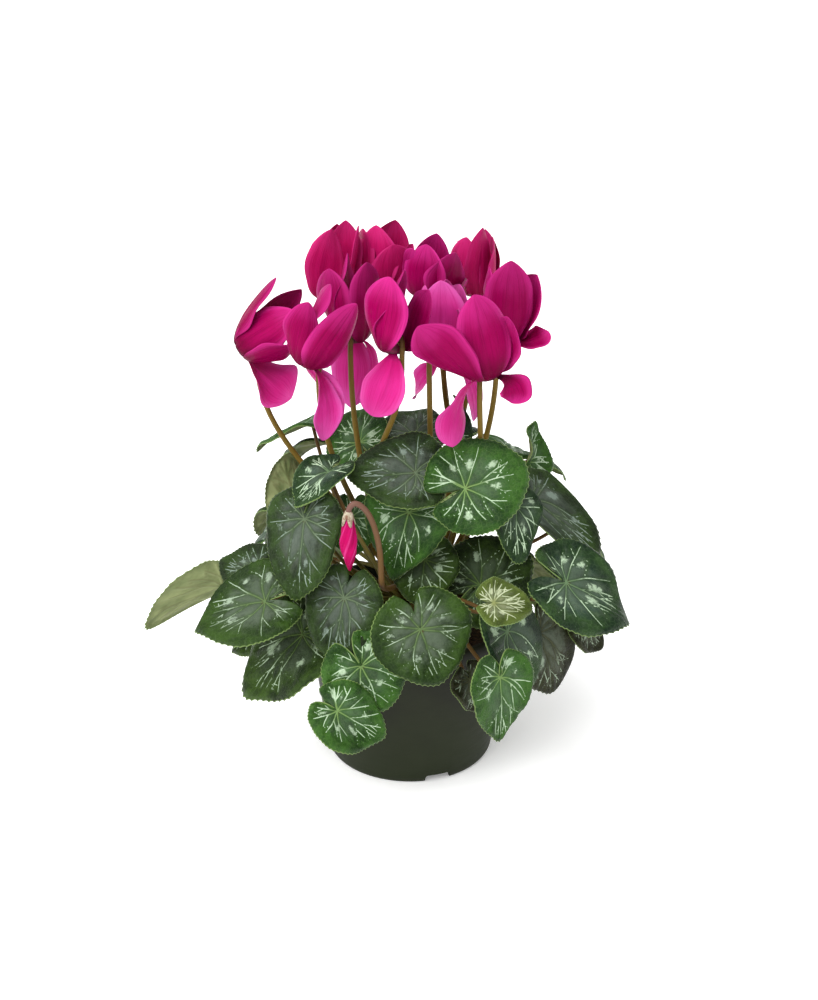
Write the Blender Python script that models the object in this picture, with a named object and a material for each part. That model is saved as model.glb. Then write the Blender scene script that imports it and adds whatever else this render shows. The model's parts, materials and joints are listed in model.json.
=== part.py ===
"""Potted cyclamen: nursery pot, soil, tuber, stems, leaf blades, a bud and nodding blooms.

Metres, +Z up; -Y is the front. The origin is on the ground, under the middle of the plant's spread.
Everything is first built about the pot's axis, in the tables' millimetres and degrees, and moved
as a whole by POT_PLACE at the end.
"""
import math
import random

import bmesh
import bpy
from mathutils import Matrix, Vector
from mathutils.bvhtree import BVHTree

MM = 0.001
SEED = 7
POT_PLACE = (15.1, 1.3, 0.0)

# Driving dimensions of the pot (a 15 cm azalea-type nursery pot), millimetres
POT_HEIGHT = 112.0
POT_FOOT_RADIUS = 59.0
POT_RIM_RADIUS = 76.0
POT_WALL = 1.6
POT_FLOOR = 6.0
POT_CORNER = 9.6
LIP_HEIGHT = 12.5
LIP_OVERHANG = 3.4
NOTCH_WIDTH = 19.0
NOTCH_HEIGHT = 5.6
NOTCH_HEADINGS = (-70.0, 50.0, 170.0)
DRAIN_RADIUS = 4.5
DRAIN_RING = 34.0
DRAIN_COUNT = 4
POT_SIDES = 32

# Driving dimensions of the plant, millimetres
GAP = 0.35
TUBER_RADIUS = 22.0
TUBER_TOP = 108.0
SOIL_TOP = 100.5
SOIL_BUMP = 0.9
CROWN_BASE = 108.4
CROWN_TOP = 120.0
BLADE = 0.9
PETAL = 0.9
PETIOLE_RADIUS = 1.6
PETIOLE_SHARES = (0.0, 0.34, 0.66, 0.9, 1.0)
PEDICEL_RADIUS = 2.1
PEDICEL_SHARES = (0.0, 0.25, 0.5, 0.75, 1.0)
HOOK_RADIUS = 1.6
PETIOLE_START = 114.5
PEDICEL_START = 115.0
ROUTE_ROOM = 0.4
TUBE_HEIGHT = 7.0
TUBE_MOUTH = 6.0
TUBE_END = 4.4
PETAL_HEADINGS = (54.0, 117.0, 180.0, 243.0, 306.0)
PETAL_STATIONS = (0.0, 0.13, 0.34, 0.60, 0.84, 1.0)
MARGIN_ANGLES = (0.0, 0.42, 0.95, 1.5, 2.05, 2.5, 2.78, 2.99)
INNER_ANGLES = (0.0, 0.85, 1.75, 2.5)
INNER_SHARE = 0.55

# The flat leaf outline: radius over half width is 1 + taper * cos(angle), with a pointed tip and a
# narrow sinus at the back down to the attachment
LEAF_TAPER = 0.16
LEAF_POINT = 0.10
LEAF_POINT_SPREAD = 0.3
SINUS_DEPTH = 0.80
SINUS_SPREAD = 0.16
SINUS_LEAST = 0.13
LEAF_LENGTH = 1.26
FOLD_SOFTNESS = 0.12

# A blade's own narrowing makes it egg-shaped: broader at the attachment, slimmer at the tip
NARROW_BASE = 0.25
NARROW_POWER = 1.2

# The petal outline: half width over width is SWELL * share ** RISE * (1 - share) ** FALL, plus a claw
PETAL_SWELL = 2.09
PETAL_RISE = 1.5
PETAL_FALL = 0.75
PETAL_CLAW = 2.4
PETAL_CUP = 0.24
PETAL_REFLEX = 7.0
PETAL_BOW = 4.5

# Leaf blades: name, attachment, tip, width, roll about the tip line, narrowing,
# (fold, left curl, right curl, droop) in degrees, (wave height over half width, waves, phase).
# A blade earlier in the list lies over a later one wherever the two meet.
LEAVES = (
    ("leaf_front_lowest", (-49, -130, 103), (-18, -129, 78), 47, 4, 0.05, (14, -12, 18, 10), (0.1, 4, 0.5)),
    ("leaf_front_right", (52, -114, 122), (57, -118, 70), 47, 0, 0.35, (8, -10, 12, 10), (0.09, 4, 2.2)),
    ("leaf_young_right", (55, -120, 179), (84, -114, 173), 31, 0, 0.45, (10, 16, 16, 8), (0.04, 4, 0.0)),
    ("leaf_front_centre", (7, -116, 157), (20, -130, 122), 68, 0, 0.2, (5, -12, -12, 12), (0.06, 3, 2.0)),
    ("leaf_front_low", (-31, -110, 126), (-13, -116, 95), 58, 0, 0.1, (8, 20, -6, 12), (0.1, 4, 1.2)),
    ("leaf_crown_right", (37, -64, 235), (80, -54, 247), 66, 4, 0.05, (4, -10, -12, 6), (0.05, 4, 0.3)),
    ("leaf_crown_front", (4, -46, 238), (-42, -52, 242), 54, -4, 0.3, (20, -4, -10, 12), (0.09, 3, 1.4)),
    ("leaf_left_small", (-54, -62, 247), (-77, -86, 236), 41, 8, 0.3, (20, -10, -8, 10), (0.07, 4, 0.0)),
    ("leaf_centre", (0, -70, 222), (-13, -84, 176), 56, 0, 0.7, (24, -8, -10, 12), (0.08, 3, 1.0)),
    ("leaf_left_grey", (-70, -82, 222), (-82, -106, 173), 57, -4, 0.15, (10, -50, -8, 12), (0.07, 4, 2.5)),
    ("leaf_right_mid", (66, -54, 214), (72, -80, 184), 44, 0, 0.4, (10, -16, -16, 12), (0.09, 4, 0.9)),
    ("leaf_right_silver", (70, -91, 139), (100, -82, 87), 64, 4, 0.25, (10, -20, 20, 16), (0.07, 3, 0.8)),
    ("leaf_under_bud", (-40, -93, 165), (-52, -112, 121), 56, 0, 0.15, (8, -30, -12, 16), (0.07, 3, 0.6)),
    ("leaf_left_long", (-93, -86, 156), (-148, -80, 140), 64, 4, 0.35, (12, -16, -12, 16), (0.07, 4, 0.4)),
    ("leaf_bottom_left", (-77, -80, 134), (-126, -86, 92), 72, -4, 0.2, (8, -14, -14, 14), (0.09, 4, 1.7)),
    ("leaf_right_big", (104, -74, 168), (156, -66, 140), 68, 8, 0.2, (12, -20, -14, 14), (0.1, 4, 2.8)),
    ("leaf_right_upper", (86, -26, 212), (144, -36, 178), 56, 24, 0.35, (8, -16, 50, 14), (0.1, 3, 0.2)),
    ("leaf_right_small", (117, -34, 116), (133, -30, 95), 34, 30, 0.2, (12, -16, -16, 12), (0.07, 4, 0.7)),
    ("leaf_right_low", (95, -62, 122), (116, -58, 64), 56, 36, 0.2, (10, -14, -16, 14), (0.06, 4, 1.1)),
    ("leaf_left_far", (-130, -34, 146), (-189, -26, 122), 54, 62, 0.1, (12, 24, 20, 12), (0.05, 3, 1.9)),
    ("leaf_left_behind", (-101, -62, 167), (-126, -50, 173), 44, -4, 0.2, (10, -14, -14, 12), (0.05, 4, 1.3)),
    ("leaf_centre_right", (51, -58, 159), (86, -52, 179), 66, 4, 0.1, (8, -14, -14, 12), (0.05, 4, 0.5)),
    ("leaf_centre_deep", (10, -58, 179), (3, -74, 153), 48, 0, 0.2, (10, -14, -14, 12), (0.05, 4, 2.1)),
    ("leaf_behind_bud", (-41, -52, 208), (-41, -66, 185), 42, 0, 0.2, (12, -14, -14, 12), (0.05, 4, 0.6)),
    ("leaf_left_upper", (-87, -52, 205), (-111, -58, 178), 42, 0, 0.2, (10, -14, -14, 12), (0.05, 4, 0.2)),
    ("leaf_left_pale", (-80, -6, 200), (-90, 2, 231), 40, -80, 0.1, (10, 10, 16, 8), (0.05, 4, 1.0)),
    ("leaf_left_edge", (-68, 40, 234), (-112, 54, 217), 50, 0, 0.35, (16, -14, -14, 12), (0.05, 4, 0.8)),
    ("leaf_back_left_top", (-36, 4, 240), (-50, 37, 249), 50, 4, 0.2, (14, -12, -14, 8), (0.05, 4, 0.0)),
    ("leaf_back_centre_top", (2, 6, 243), (12, 43, 250), 50, 0, 0.15, (12, -12, -14, 8), (0.05, 4, 2.0)),
    ("leaf_back_right_top", (31, 4, 242), (33, 12, 271), 38, 0, 0.2, (20, 18, 20, 8), (0.05, 4, 0.6)),
    ("leaf_right_top_curl", (82, 14, 216), (88, 30, 240), 36, 0, 0.2, (20, 26, 30, 6), (0.08, 4, 1.6)),
    ("leaf_pot_shade", (41, -88, 102), (50, -91, 76), 32, 0, 0.3, (12, -16, -12, 10), (0.06, 4, 0.0)),
    ("leaf_left_low", (-107, -34, 113), (-130, -28, 95), 40, 0, 0.2, (12, -14, -14, 12), (0.05, 4, 0.9)),
    ("leaf_back_right_high", (78, 52, 214), (122, 68, 194), 66, 0, 0.2, (12, -16, -16, 14), (0.06, 4, 0.5)),
    ("leaf_back_high", (16, 78, 216), (21, 122, 197), 68, 0, 0.1, (10, -16, -14, 14), (0.06, 4, 1.4)),
    ("leaf_back_left_high", (-56, 76, 206), (-88, 106, 186), 66, 0, 0.3, (14, -16, -18, 14), (0.06, 3, 2.2)),
    ("leaf_side_right", (108, 34, 160), (146, 44, 122), 60, 0, 0.3, (12, -18, -16, 16), (0.06, 4, 0.1)),
    ("leaf_side_left", (-98, 30, 158), (-138, 42, 118), 60, 0, 0.2, (12, -18, -16, 16), (0.06, 4, 1.0)),
    ("leaf_back_right_mid", (96, 82, 158), (130, 110, 124), 66, 0, 0.15, (12, -16, -20, 16), (0.06, 4, 1.6)),
    ("leaf_back_mid", (22, 116, 158), (30, 154, 121), 68, 0, 0.25, (10, -18, -16, 18), (0.06, 4, 0.4)),
    ("leaf_back_left_mid", (-82, 88, 154), (-112, 120, 118), 66, 0, 0.1, (12, -16, -18, 16), (0.06, 4, 2.6)),
    ("leaf_back_low_right", (88, 62, 112), (108, 78, 66), 60, 0, 0.25, (12, -18, -16, 14), (0.06, 4, 1.2)),
    ("leaf_back_low_left", (-66, 88, 110), (-82, 104, 64), 60, 0, 0.3, (12, -16, -16, 14), (0.06, 4, 0.2)),
)

# Blooms: name, mouth, lean of the tube (x, y per unit up), heading of the pedicel gap, then five
# petals counted round from the gap: tip from the mouth, width and twist.
BLOOMS = (
    ("bloom_far_left", (-111, -18, 315), (1.3, 0.10), 45, (
        (41, 18, 38, 30, 20), (25, 6, 51, 32, 10), (38, -13, 34, 32, -15),
        (42, -18, 13, 30, 20), (34, -10, -30, 40, 70))),
    ("bloom_front_left", (-71, -48, 319), (0.45, 0.0), 40, (
        (24, 13, -42, 30, 30), (17, 10, 53, 30, 50), (3, -4, 46, 26, 60),
        (34, -4, 45, 37, 10), (11, -6, -52, 26, 50))),
    ("bloom_top_left", (-56, 35, 332), (0.15, 0.05), -60, (
        (21, 2, 54, 32, 0), (12, 13, 54, 28, 30), (6, 17, 50, 28, 20),
        (-6, 0, 45, 24, 40), (3, -5, 54, 28, 60))),
    ("bloom_left_centre", (-39, -2, 317), (0.08, 0.05), -90, (
        (10, -4, 58, 36, 0), (11, 12, -38, 26, 20), (-2, 10, -54, 32, 20),
        (-3, 8, 60, 34, 20), (-15, 0, 52, 34, 30))),
    ("bloom_centre", (-12, -55, 331), (0.10, 0.05), -30, (
        (24, -2, 44, 34, 30), (22, 23, -6, 24, 20), (8, 8, 54, 36, 20),
        (-1, -5, 54, 38, 20), (-13, -7, -43, 30, 10))),
    ("bloom_top_centre", (-17, 50, 336), (0.02, 0.10), 60, (
        (7, 13, 45, 32, 0), (-15, 1, 43, 32, 20), (-6, -6, 48, 34, 0),
        (5, -15, 37, 34, 0), (19, -2, 33, 28, 30))),
    ("bloom_top_middle", (15, 22, 338), (0.14, 0.08), 60, (
        (6, 15, 43, 30, 0), (-10, -2, 38, 28, 40), (-1, -7, 43, 35, 0),
        (18, -6, 37, 36, 0), (27, 0, 15, 28, 0))),
    ("bloom_pink_centre", (19, -18, 319), (0.18, 0.06), 230, (
        (1, -5, 50, 34, 0), (13, -11, 32, 20, 60), (14, 6, 43, 31, 0),
        (5, 13, 44, 28, 20), (-9, 4, 43, 28, 30))),
    ("bloom_front_right", (50, -60, 314), (-0.12, 0.04), 120, (
        (-22, -8, -46, 34, 60), (-45, -20, 45, 40, 50), (-9, -3, 60, 42, 0),
        (17, -7, -15, 32, 45), (13, 4, 42, 34, 30))),
    ("bloom_top_right", (44, 45, 332), (-0.02, 0.05), 90, (
        (-14, 5, 38, 26, 30), (-8, -4, 44, 28, 30), (3, -7, 52, 26, 60),
        (10, 2, 42, 28, 30), (5, 12, 44, 28, 0))),
    ("bloom_right", (64, -5, 317), (-0.06, 0.08), 222, (
        (3, -7, 62, 36, 0), (29, -5, 11, 20, 70), (21, 4, 48, 38, 10),
        (4, 13, 53, 32, 0), (-11, 0, 55, 31, 20))),
    ("bloom_back_low", (25, 18, 293), (0.10, 0.10), 100, (
        (-7, 7, 40, 26, 20), (-21, -6, -24, 26, 20), (2, -7, 43, 28, 20),
        (20, 4, -46, 24, 30), (8, 9, 41, 28, 20))),
)

BUD_TOP = (-39, -101, 244)
BUD_TIP = (-40, -104, 195)
BUD_HOOK = ((20, 6, -62), (19, 4, -34), (13, 1, -10), (4, 0, 0), (-1, 0, -4), (-1.5, 0, -10))
BUD_STEM_RADIUS = 2.0

LEAF_GREENS = ((0.03, 0.09, 0.03), (0.04, 0.10, 0.05), (0.05, 0.11, 0.06))
PETAL_COLOUR = (0.65, 0.01, 0.16)
BUD_COLOUR = (0.60, 0.01, 0.12)


def vec(triple):
    """A table entry in millimetres as a vector in metres."""
    return Vector(triple) * MM


def clear_scene():
    """Remove whatever the file holds at the start."""
    for item in list(bpy.data.objects):
        bpy.data.objects.remove(item)


def material(name, colour, roughness):
    """A plain Principled material; every piece carries its own."""
    made = bpy.data.materials.new(name)
    made.use_nodes = True
    shader = made.node_tree.nodes["Principled BSDF"]
    shader.inputs["Base Color"].default_value = (*colour, 1.0)
    shader.inputs["Roughness"].default_value = roughness
    shader.inputs["Metallic"].default_value = 0.0
    return made


def to_object(name, solid, colour, roughness):
    """A mesh object from (points, faces) with faces turned outward."""
    points, faces = solid
    mesh = bpy.data.meshes.new(name)
    mesh.from_pydata([tuple(p) for p in points], [], faces)
    work = bmesh.new()
    work.from_mesh(mesh)
    bmesh.ops.recalc_face_normals(work, faces=work.faces)
    work.to_mesh(mesh)
    work.free()
    made = bpy.data.objects.new(name, mesh)
    bpy.context.collection.objects.link(made)
    mesh.materials.append(material(name, colour, roughness))
    return made


def lathe(profile, sides, bump=0.0, bump_rings=()):
    """Revolve a profile of (radius, height) in mm; radius 0 at both ends closes it, else it is a ring."""
    rng = random.Random(SEED)
    points, rings = [], []
    for index, (radius, height) in enumerate(profile):
        if radius == 0.0:
            rings.append([len(points)])
            points.append(Vector((0, 0, height * MM)))
            continue
        ring = []
        for side in range(sides):
            angle = 2 * math.pi * side / sides
            lift = rng.uniform(-bump, bump) if index in bump_rings else 0.0
            ring.append(len(points))
            points.append(Vector((radius * math.cos(angle), radius * math.sin(angle), height + lift)) * MM)
        rings.append(ring)
    closed = len(rings[0]) > 1
    faces = []
    for index in range(len(rings) - (0 if closed else 1)):
        low, high = rings[index], rings[(index + 1) % len(rings)]
        for side in range(sides):
            after = (side + 1) % sides
            if len(low) == 1:
                faces.append((low[0], high[side], high[after]))
            elif len(high) == 1:
                faces.append((low[side], high[0], low[after]))
            else:
                faces.append((low[side], high[side], high[after], low[after]))
    return points, faces


def unite(name, solids, colour, roughness):
    """Join solids into one body with one Boolean union on a collection."""
    base = to_object(name, solids[0], colour, roughness)
    rest = bpy.data.collections.new(name + "_rest")
    others = []
    for index, solid in enumerate(solids[1:]):
        other = to_object(f"{name}_{index}", solid, colour, roughness)
        bpy.context.collection.objects.unlink(other)
        rest.objects.link(other)
        others.append(other)
    join = base.modifiers.new("join", "BOOLEAN")
    join.operation = "UNION"
    join.operand_type = "COLLECTION"
    join.collection = rest
    join.solver = "EXACT"
    apply_modifiers(base)
    for other in others:
        bpy.data.objects.remove(other)
    bpy.data.collections.remove(rest)
    tidy(base)
    return base


def apply_modifiers(item):
    """Bake an object's modifiers into its mesh."""
    bpy.context.view_layer.update()
    graph = bpy.context.evaluated_depsgraph_get()
    baked = bpy.data.meshes.new_from_object(item.evaluated_get(graph))
    item.modifiers.clear()
    item.data = baked


def tidy(item):
    """Merge twin points, keep the largest body and triangulate."""
    work = bmesh.new()
    work.from_mesh(item.data)
    bmesh.ops.remove_doubles(work, verts=work.verts, dist=0.00002)
    bmesh.ops.dissolve_degenerate(work, edges=work.edges, dist=0.00001)
    seen, bodies = set(), []
    for start in work.verts:
        if start in seen:
            continue
        body, queue = [], [start]
        seen.add(start)
        while queue:
            vertex = queue.pop()
            body.append(vertex)
            for edge in vertex.link_edges:
                other = edge.other_vert(vertex)
                if other not in seen:
                    seen.add(other)
                    queue.append(other)
        bodies.append(body)
    bodies.sort(key=len, reverse=True)
    scraps = [vertex for body in bodies[1:] for vertex in body]
    bmesh.ops.delete(work, geom=scraps, context="VERTS")
    bmesh.ops.dissolve_limit(work, angle_limit=0.01, verts=work.verts, edges=work.edges)
    bmesh.ops.triangulate(work, faces=work.faces)
    bmesh.ops.recalc_face_normals(work, faces=work.faces)
    work.to_mesh(item.data)
    work.free()


def cut(base, solids):
    """Take solids away from an object."""
    for index, solid in enumerate(solids):
        cutter = to_object(f"cutter_{index}", solid, (0.5, 0.5, 0.5), 0.5)
        cutter.hide_render = True
        cutter.display_type = "WIRE"
        taken = base.modifiers.new("cut", "BOOLEAN")
        taken.operation = "DIFFERENCE"
        taken.object = cutter
        taken.solver = "EXACT"
        apply_modifiers(base)
        bpy.data.objects.remove(cutter)
    tidy(base)


def thicken(points, faces, thickness):
    """Turn an open sheet into a closed solid, with both faces divided alike."""
    normals = [Vector((0, 0, 0)) for _ in points]
    count = {}
    for face in faces:
        a, b, c = (points[i] for i in face[:3])
        flat = (b - a).cross(c - a)
        for i in face:
            normals[i] += flat
        for i, start in enumerate(face):
            edge = (start, face[(i + 1) % len(face)])
            count[edge] = True
    half = thickness * 0.5 * MM
    total = len(points)
    upper = [p + n.normalized() * half for p, n in zip(points, normals)]
    lower = [p - n.normalized() * half for p, n in zip(points, normals)]
    solid = [tuple(face) for face in faces]
    solid += [tuple(i + total for i in reversed(face)) for face in faces]
    for start, end in count:
        if (end, start) not in count:
            solid.append((end, start, start + total))
            solid.append((end, start + total, end + total))
    return upper + lower, solid


def fan_faces(inner, outer):
    """Triangles of a disc: point 0, then an inner ring and an outer ring at rising angles."""
    faces = []
    ring = 1 + len(inner)
    for i in range(len(inner)):
        faces.append((0, 1 + i, 1 + (i + 1) % len(inner)))
    i, k = 0, 0
    while i < len(inner) or k < len(outer):
        low, high = 1 + i % len(inner), ring + k % len(outer)
        next_low = inner[i + 1] if i + 1 < len(inner) else math.pi + (0 if i + 1 == len(inner) else 9)
        next_high = outer[k + 1] if k + 1 < len(outer) else math.pi + (0 if k + 1 == len(outer) else 9)
        if k < len(outer) and (i >= len(inner) or next_high <= next_low):
            faces.append((low, high, ring + (k + 1) % len(outer)))
            k += 1
        else:
            faces.append((low, high, 1 + (i + 1) % len(inner)))
            i += 1
    return faces


class Leaf:
    """One heart-shaped blade; the sheet is a function of a polar place on the flat leaf."""

    def __init__(self, row):
        self.name, attach, tip, width, roll, self.narrow, shape, wave = row
        self.attach = vec(attach)
        self.half = width * 0.5 * MM
        line = vec(tip) - self.attach
        self.reach = line.length / (LEAF_LENGTH * self.half)
        self.fold, self.left, self.right, self.droop = (math.radians(v) for v in shape)
        self.wave, self.waves, self.phase = wave
        outward = Vector((self.attach.x, self.attach.y, 0)).normalized()
        ahead = line.normalized()
        normal = outward + Vector((0, 0, 1.0))
        normal = (normal - ahead * normal.dot(ahead)).normalized()
        normal = Matrix.Rotation(math.radians(roll), 3, ahead) @ normal
        self.frame = Matrix((ahead, normal.cross(ahead), normal)).transposed()
        self.shift = Vector((0, 0, 0))

    def margin(self, angle):
        """Radius of the flat outline, in half widths, at an angle from the tip."""
        back = math.pi - abs(angle)
        shape = 1 + LEAF_TAPER * math.cos(angle) + LEAF_POINT * math.exp(-(angle / LEAF_POINT_SPREAD) ** 2)
        return max(shape - SINUS_DEPTH * math.exp(-(back / SINUS_SPREAD) ** 2), SINUS_LEAST)

    def bend(self, x, y, z, turn):
        """Bend (x, z) about the y axis, turn radians per metre, positive turning down."""
        if abs(turn) < 1e-6:
            return x, y, z
        sine, cosine = math.sin(x * turn), math.cos(x * turn)
        return sine / turn + z * sine, y, (cosine - 1) / turn + z * cosine

    def place(self, share, angle):
        """World point of the sheet: share 0 at the attachment, 1 at the margin."""
        radius = self.margin(angle) * self.half * share
        x, y = radius * math.cos(angle), radius * math.sin(angle)
        ahead = max(x, 0.0) / (LEAF_LENGTH * self.half)
        y *= 1 + self.narrow * (NARROW_BASE - ahead ** NARROW_POWER)
        if x > 0:
            x *= 1 + (self.reach - 1) * min(x / (0.5 * self.half), 1.0)
        curl = (self.left if y > 0 else self.right) / self.half
        bent = abs(y) * curl
        run = abs(y) if abs(bent) < 1e-6 else math.sin(bent) / curl
        rise = 0.0 if abs(bent) < 1e-6 else (1 - math.cos(bent)) / curl
        softness = FOLD_SOFTNESS * self.half
        soft = math.sqrt(run * run + softness ** 2) - softness
        rise += soft * math.sin(self.fold)
        run -= soft * (1 - math.cos(self.fold))
        rise += self.wave * self.half * share ** 2 * math.sin(self.waves * angle + self.phase)
        x, y, z = self.bend(x, math.copysign(run, y), rise, self.droop / self.half)
        return self.attach + self.shift + self.frame @ Vector((x, y, z))

    def sheet(self):
        """The coarse sheet: a centre, an inner ring and the margin."""
        points = [self.place(0, 0)]
        inner = [-math.pi] + [-a for a in reversed(INNER_ANGLES[1:])] + list(INNER_ANGLES)
        outer = [-math.pi] + [-a for a in reversed(MARGIN_ANGLES[1:])] + list(MARGIN_ANGLES)
        points += [self.place(INNER_SHARE, a) for a in inner]
        points += [self.place(1.0, a) for a in outer]
        faces = fan_faces(inner, outer)
        return points, faces

    def solid(self, thickness=BLADE):
        """The blade as a closed solid."""
        return thicken(*self.sheet(), thickness)

    @property
    def normal(self):
        return self.frame.col[2]


class Bloom:
    """A nodding bloom: a short closed tube with five petals turned back from its mouth."""

    def __init__(self, row):
        self.name, mouth, lean, gap, self.petals = row
        self.mouth = vec(mouth)
        up = Vector((lean[0], lean[1], 1)).normalized()
        ahead = Vector((math.cos(math.radians(gap)), math.sin(math.radians(gap)), 0))
        ahead = (ahead - up * ahead.dot(up)).normalized()
        self.frame = Matrix((ahead, up.cross(ahead), up)).transposed()
        self.shift = Vector((0, 0, 0))

    def world(self, x, y, z):
        """World point of a local place in millimetres; x points at the pedicel gap, z up the tube."""
        return self.mouth + self.shift + self.frame @ (Vector((x, y, z)) * MM)

    def petal_line(self, index, shares):
        """Centre line of a petal and its sideways direction at each share of its length."""
        azimuth = math.radians(PETAL_HEADINGS[index])
        out = Vector((math.cos(azimuth), math.sin(azimuth), 0))
        root = self.world(*(out * (TUBE_MOUTH - 0.9) + Vector((0, 0, 0.6))))
        hand = self.world(*(out * (TUBE_MOUTH + PETAL_REFLEX) + Vector((0, 0, -2.0))))
        tip = self.mouth + self.shift + vec(self.petals[index][:3])
        late = hand.lerp(tip, 0.5) + self.frame @ (out * PETAL_BOW * MM)
        line = []
        for t in shares:
            a, b, c, d = (1 - t) ** 3, 3 * (1 - t) ** 2 * t, 3 * (1 - t) * t * t, t ** 3
            line.append(root * a + hand * b + late * c + tip * d)
        side = self.frame @ Vector((-out.y, out.x, 0))
        sides = []
        for i in range(len(line)):
            way = (line[min(i + 1, len(line) - 1)] - line[max(i - 1, 0)]).normalized()
            side = (side - way * side.dot(way)).normalized()
            turn = math.radians(self.petals[index][4]) * shares[i] ** 1.3
            turned = Matrix.Rotation(turn, 3, way) @ side
            sides.append((turned, turned.cross(way)))
        return line, sides

    def petal_half(self, index, share):
        """Half width of a petal in metres at a share of its length."""
        width = self.petals[index][3]
        broad = width * PETAL_SWELL * share ** PETAL_RISE * max(1 - share, 0.0) ** PETAL_FALL
        return (broad + PETAL_CLAW * (1 - share) ** 3) * MM

    def petal(self, index, thickness=PETAL):
        """One petal as a closed solid."""
        line, sides = self.petal_line(index, PETAL_STATIONS)
        points, faces = [], []
        for share, centre, (side, normal) in zip(PETAL_STATIONS[:-1], line, sides):
            half = self.petal_half(index, share)
            edge = normal * (-PETAL_CUP * half)
            points += [centre - side * half * 0.97 + edge, centre, centre + side * half * 0.97 + edge]
        points.append(line[-1])
        rows = len(PETAL_STATIONS) - 1
        for row in range(rows - 1):
            for col in (0, 1):
                a = row * 3 + col
                faces += [(a, a + 1, a + 4), (a, a + 4, a + 3)]
        last = (rows - 1) * 3
        faces += [(last, last + 1, len(points) - 1), (last + 1, last + 2, len(points) - 1)]
        return thicken(points, faces, thickness)

    def tube(self):
        """The corolla tube, solid, closed at the calyx end."""
        profile = (
            (0.0, -0.4), (3.4, -0.4), (TUBE_MOUTH, 0.6), (TUBE_MOUTH - 0.4, 4.0), (TUBE_END, TUBE_HEIGHT),
            (0.0, TUBE_HEIGHT),
        )
        points, faces = lathe(profile, 6)
        return [self.world(*(p / MM)) for p in points], faces

    def solids(self, thickness=PETAL):
        """Tube and petals."""
        return [self.tube()] + [self.petal(i, thickness) for i in range(5)]


def sweep(points, radii, sides):
    """A closed tube along points with a radius at each, millimetres for the radii."""
    last = len(points) - 1
    ahead = [(points[min(i + 1, last)] - points[max(i - 1, 0)]).normalized() for i in range(last + 1)]
    side = ahead[0].orthogonal().normalized()
    ring_points, rings = [], []
    for place, way, radius in zip(points, ahead, radii):
        side = (side - way * side.dot(way)).normalized()
        other = way.cross(side)
        ring = []
        for i in range(sides):
            angle = 2 * math.pi * i / sides
            ring.append(len(ring_points))
            ring_points.append(place + (side * math.cos(angle) + other * math.sin(angle)) * radius * MM)
        rings.append(ring)
    faces = [tuple(reversed(rings[0])), tuple(rings[-1])]
    for low, high in zip(rings, rings[1:]):
        for i in range(sides):
            after = (i + 1) % sides
            faces.append((low[i], low[after], high[after], high[i]))
    return ring_points, faces


def curve(start, start_hand, end_hand, end, shares):
    """Points of a cubic curve at the given shares of its run."""
    points = []
    for t in shares:
        a, b, c, d = (1 - t) ** 3, 3 * (1 - t) ** 2 * t, 3 * (1 - t) * t * t, t ** 3
        points.append(start * a + start_hand * b + end_hand * c + end * d)
    return points


def tree(solids):
    """A search tree of the surfaces of several solids."""
    points, faces = [], []
    for some_points, some_faces in solids:
        base = len(points)
        points += some_points
        faces += [tuple(i + base for i in face) for face in some_faces]
    return BVHTree.FromPolygons(points, faces)


def box_of(solids):
    """Lowest and highest corner of several solids."""
    points = [p for solid in solids for p in solid[0]]
    low = Vector(min(p[i] for p in points) for i in range(3))
    high = Vector(max(p[i] for p in points) for i in range(3))
    return low, high


def settle(leaves, blooms):
    """Push blades and blooms apart until their fattened solids are clear of each other."""
    items = []
    for bloom in blooms:
        items.append([bloom, bloom.solids(PETAL + 1.2)])
    for leaf in leaves:
        items.append([leaf, [leaf.solid(BLADE + 1.5)]])
    pot_tree = tree([lathe(pot_profile(0.8), 24)])
    for item in items:
        item += [tree(item[1]), box_of(item[1]), item[0].shift.copy()]
    for _ in range(260):
        pushes = {}
        for i, one in enumerate(items):
            for j in range(i + 1, len(items)):
                two = items[j]
                if any(one[3][0][k] > two[3][1][k] or two[3][0][k] > one[3][1][k] for k in range(3)):
                    continue
                if not one[2].overlap(two[2]):
                    continue
                if isinstance(one[0], Bloom) and isinstance(two[0], Bloom):
                    way = one[0].mouth + one[0].shift - two[0].mouth - two[0].shift
                    way.z *= 0.5
                    way.normalize()
                    pushes[i] = pushes.get(i, Vector()) + way
                    pushes[j] = pushes.get(j, Vector()) - way
                elif isinstance(one[0], Bloom):
                    pushes[i] = pushes.get(i, Vector()) + Vector((0, 0, 0.5))
                    pushes[j] = pushes.get(j, Vector()) - Vector((0, 0, 1.0))
                else:
                    way = (one[0].normal + two[0].normal).normalized()
                    pushes[i] = pushes.get(i, Vector()) + way
                    pushes[j] = pushes.get(j, Vector()) - way
            if isinstance(one[0], Leaf) and one[2].overlap(pot_tree):
                out = Vector((one[0].attach.x, one[0].attach.y, 0)).normalized()
                pushes[i] = pushes.get(i, Vector()) + out * 1.5
        if not pushes:
            break
        for i, push in pushes.items():
            item = items[i]
            if push.length > 1:
                push = push.normalized()
            move = push * 0.4 * MM
            item[0].shift += move
            item[1] = [([p + move for p in points], faces) for points, faces in item[1]]
            item[2] = tree(item[1])
            item[3] = box_of(item[1])


def wall_radius(height):
    """Outer radius of the tapered wall at a height."""
    slope = (POT_RIM_RADIUS - LIP_OVERHANG - POT_FOOT_RADIUS) / (POT_HEIGHT - LIP_HEIGHT)
    return POT_FOOT_RADIUS + slope * height


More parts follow.
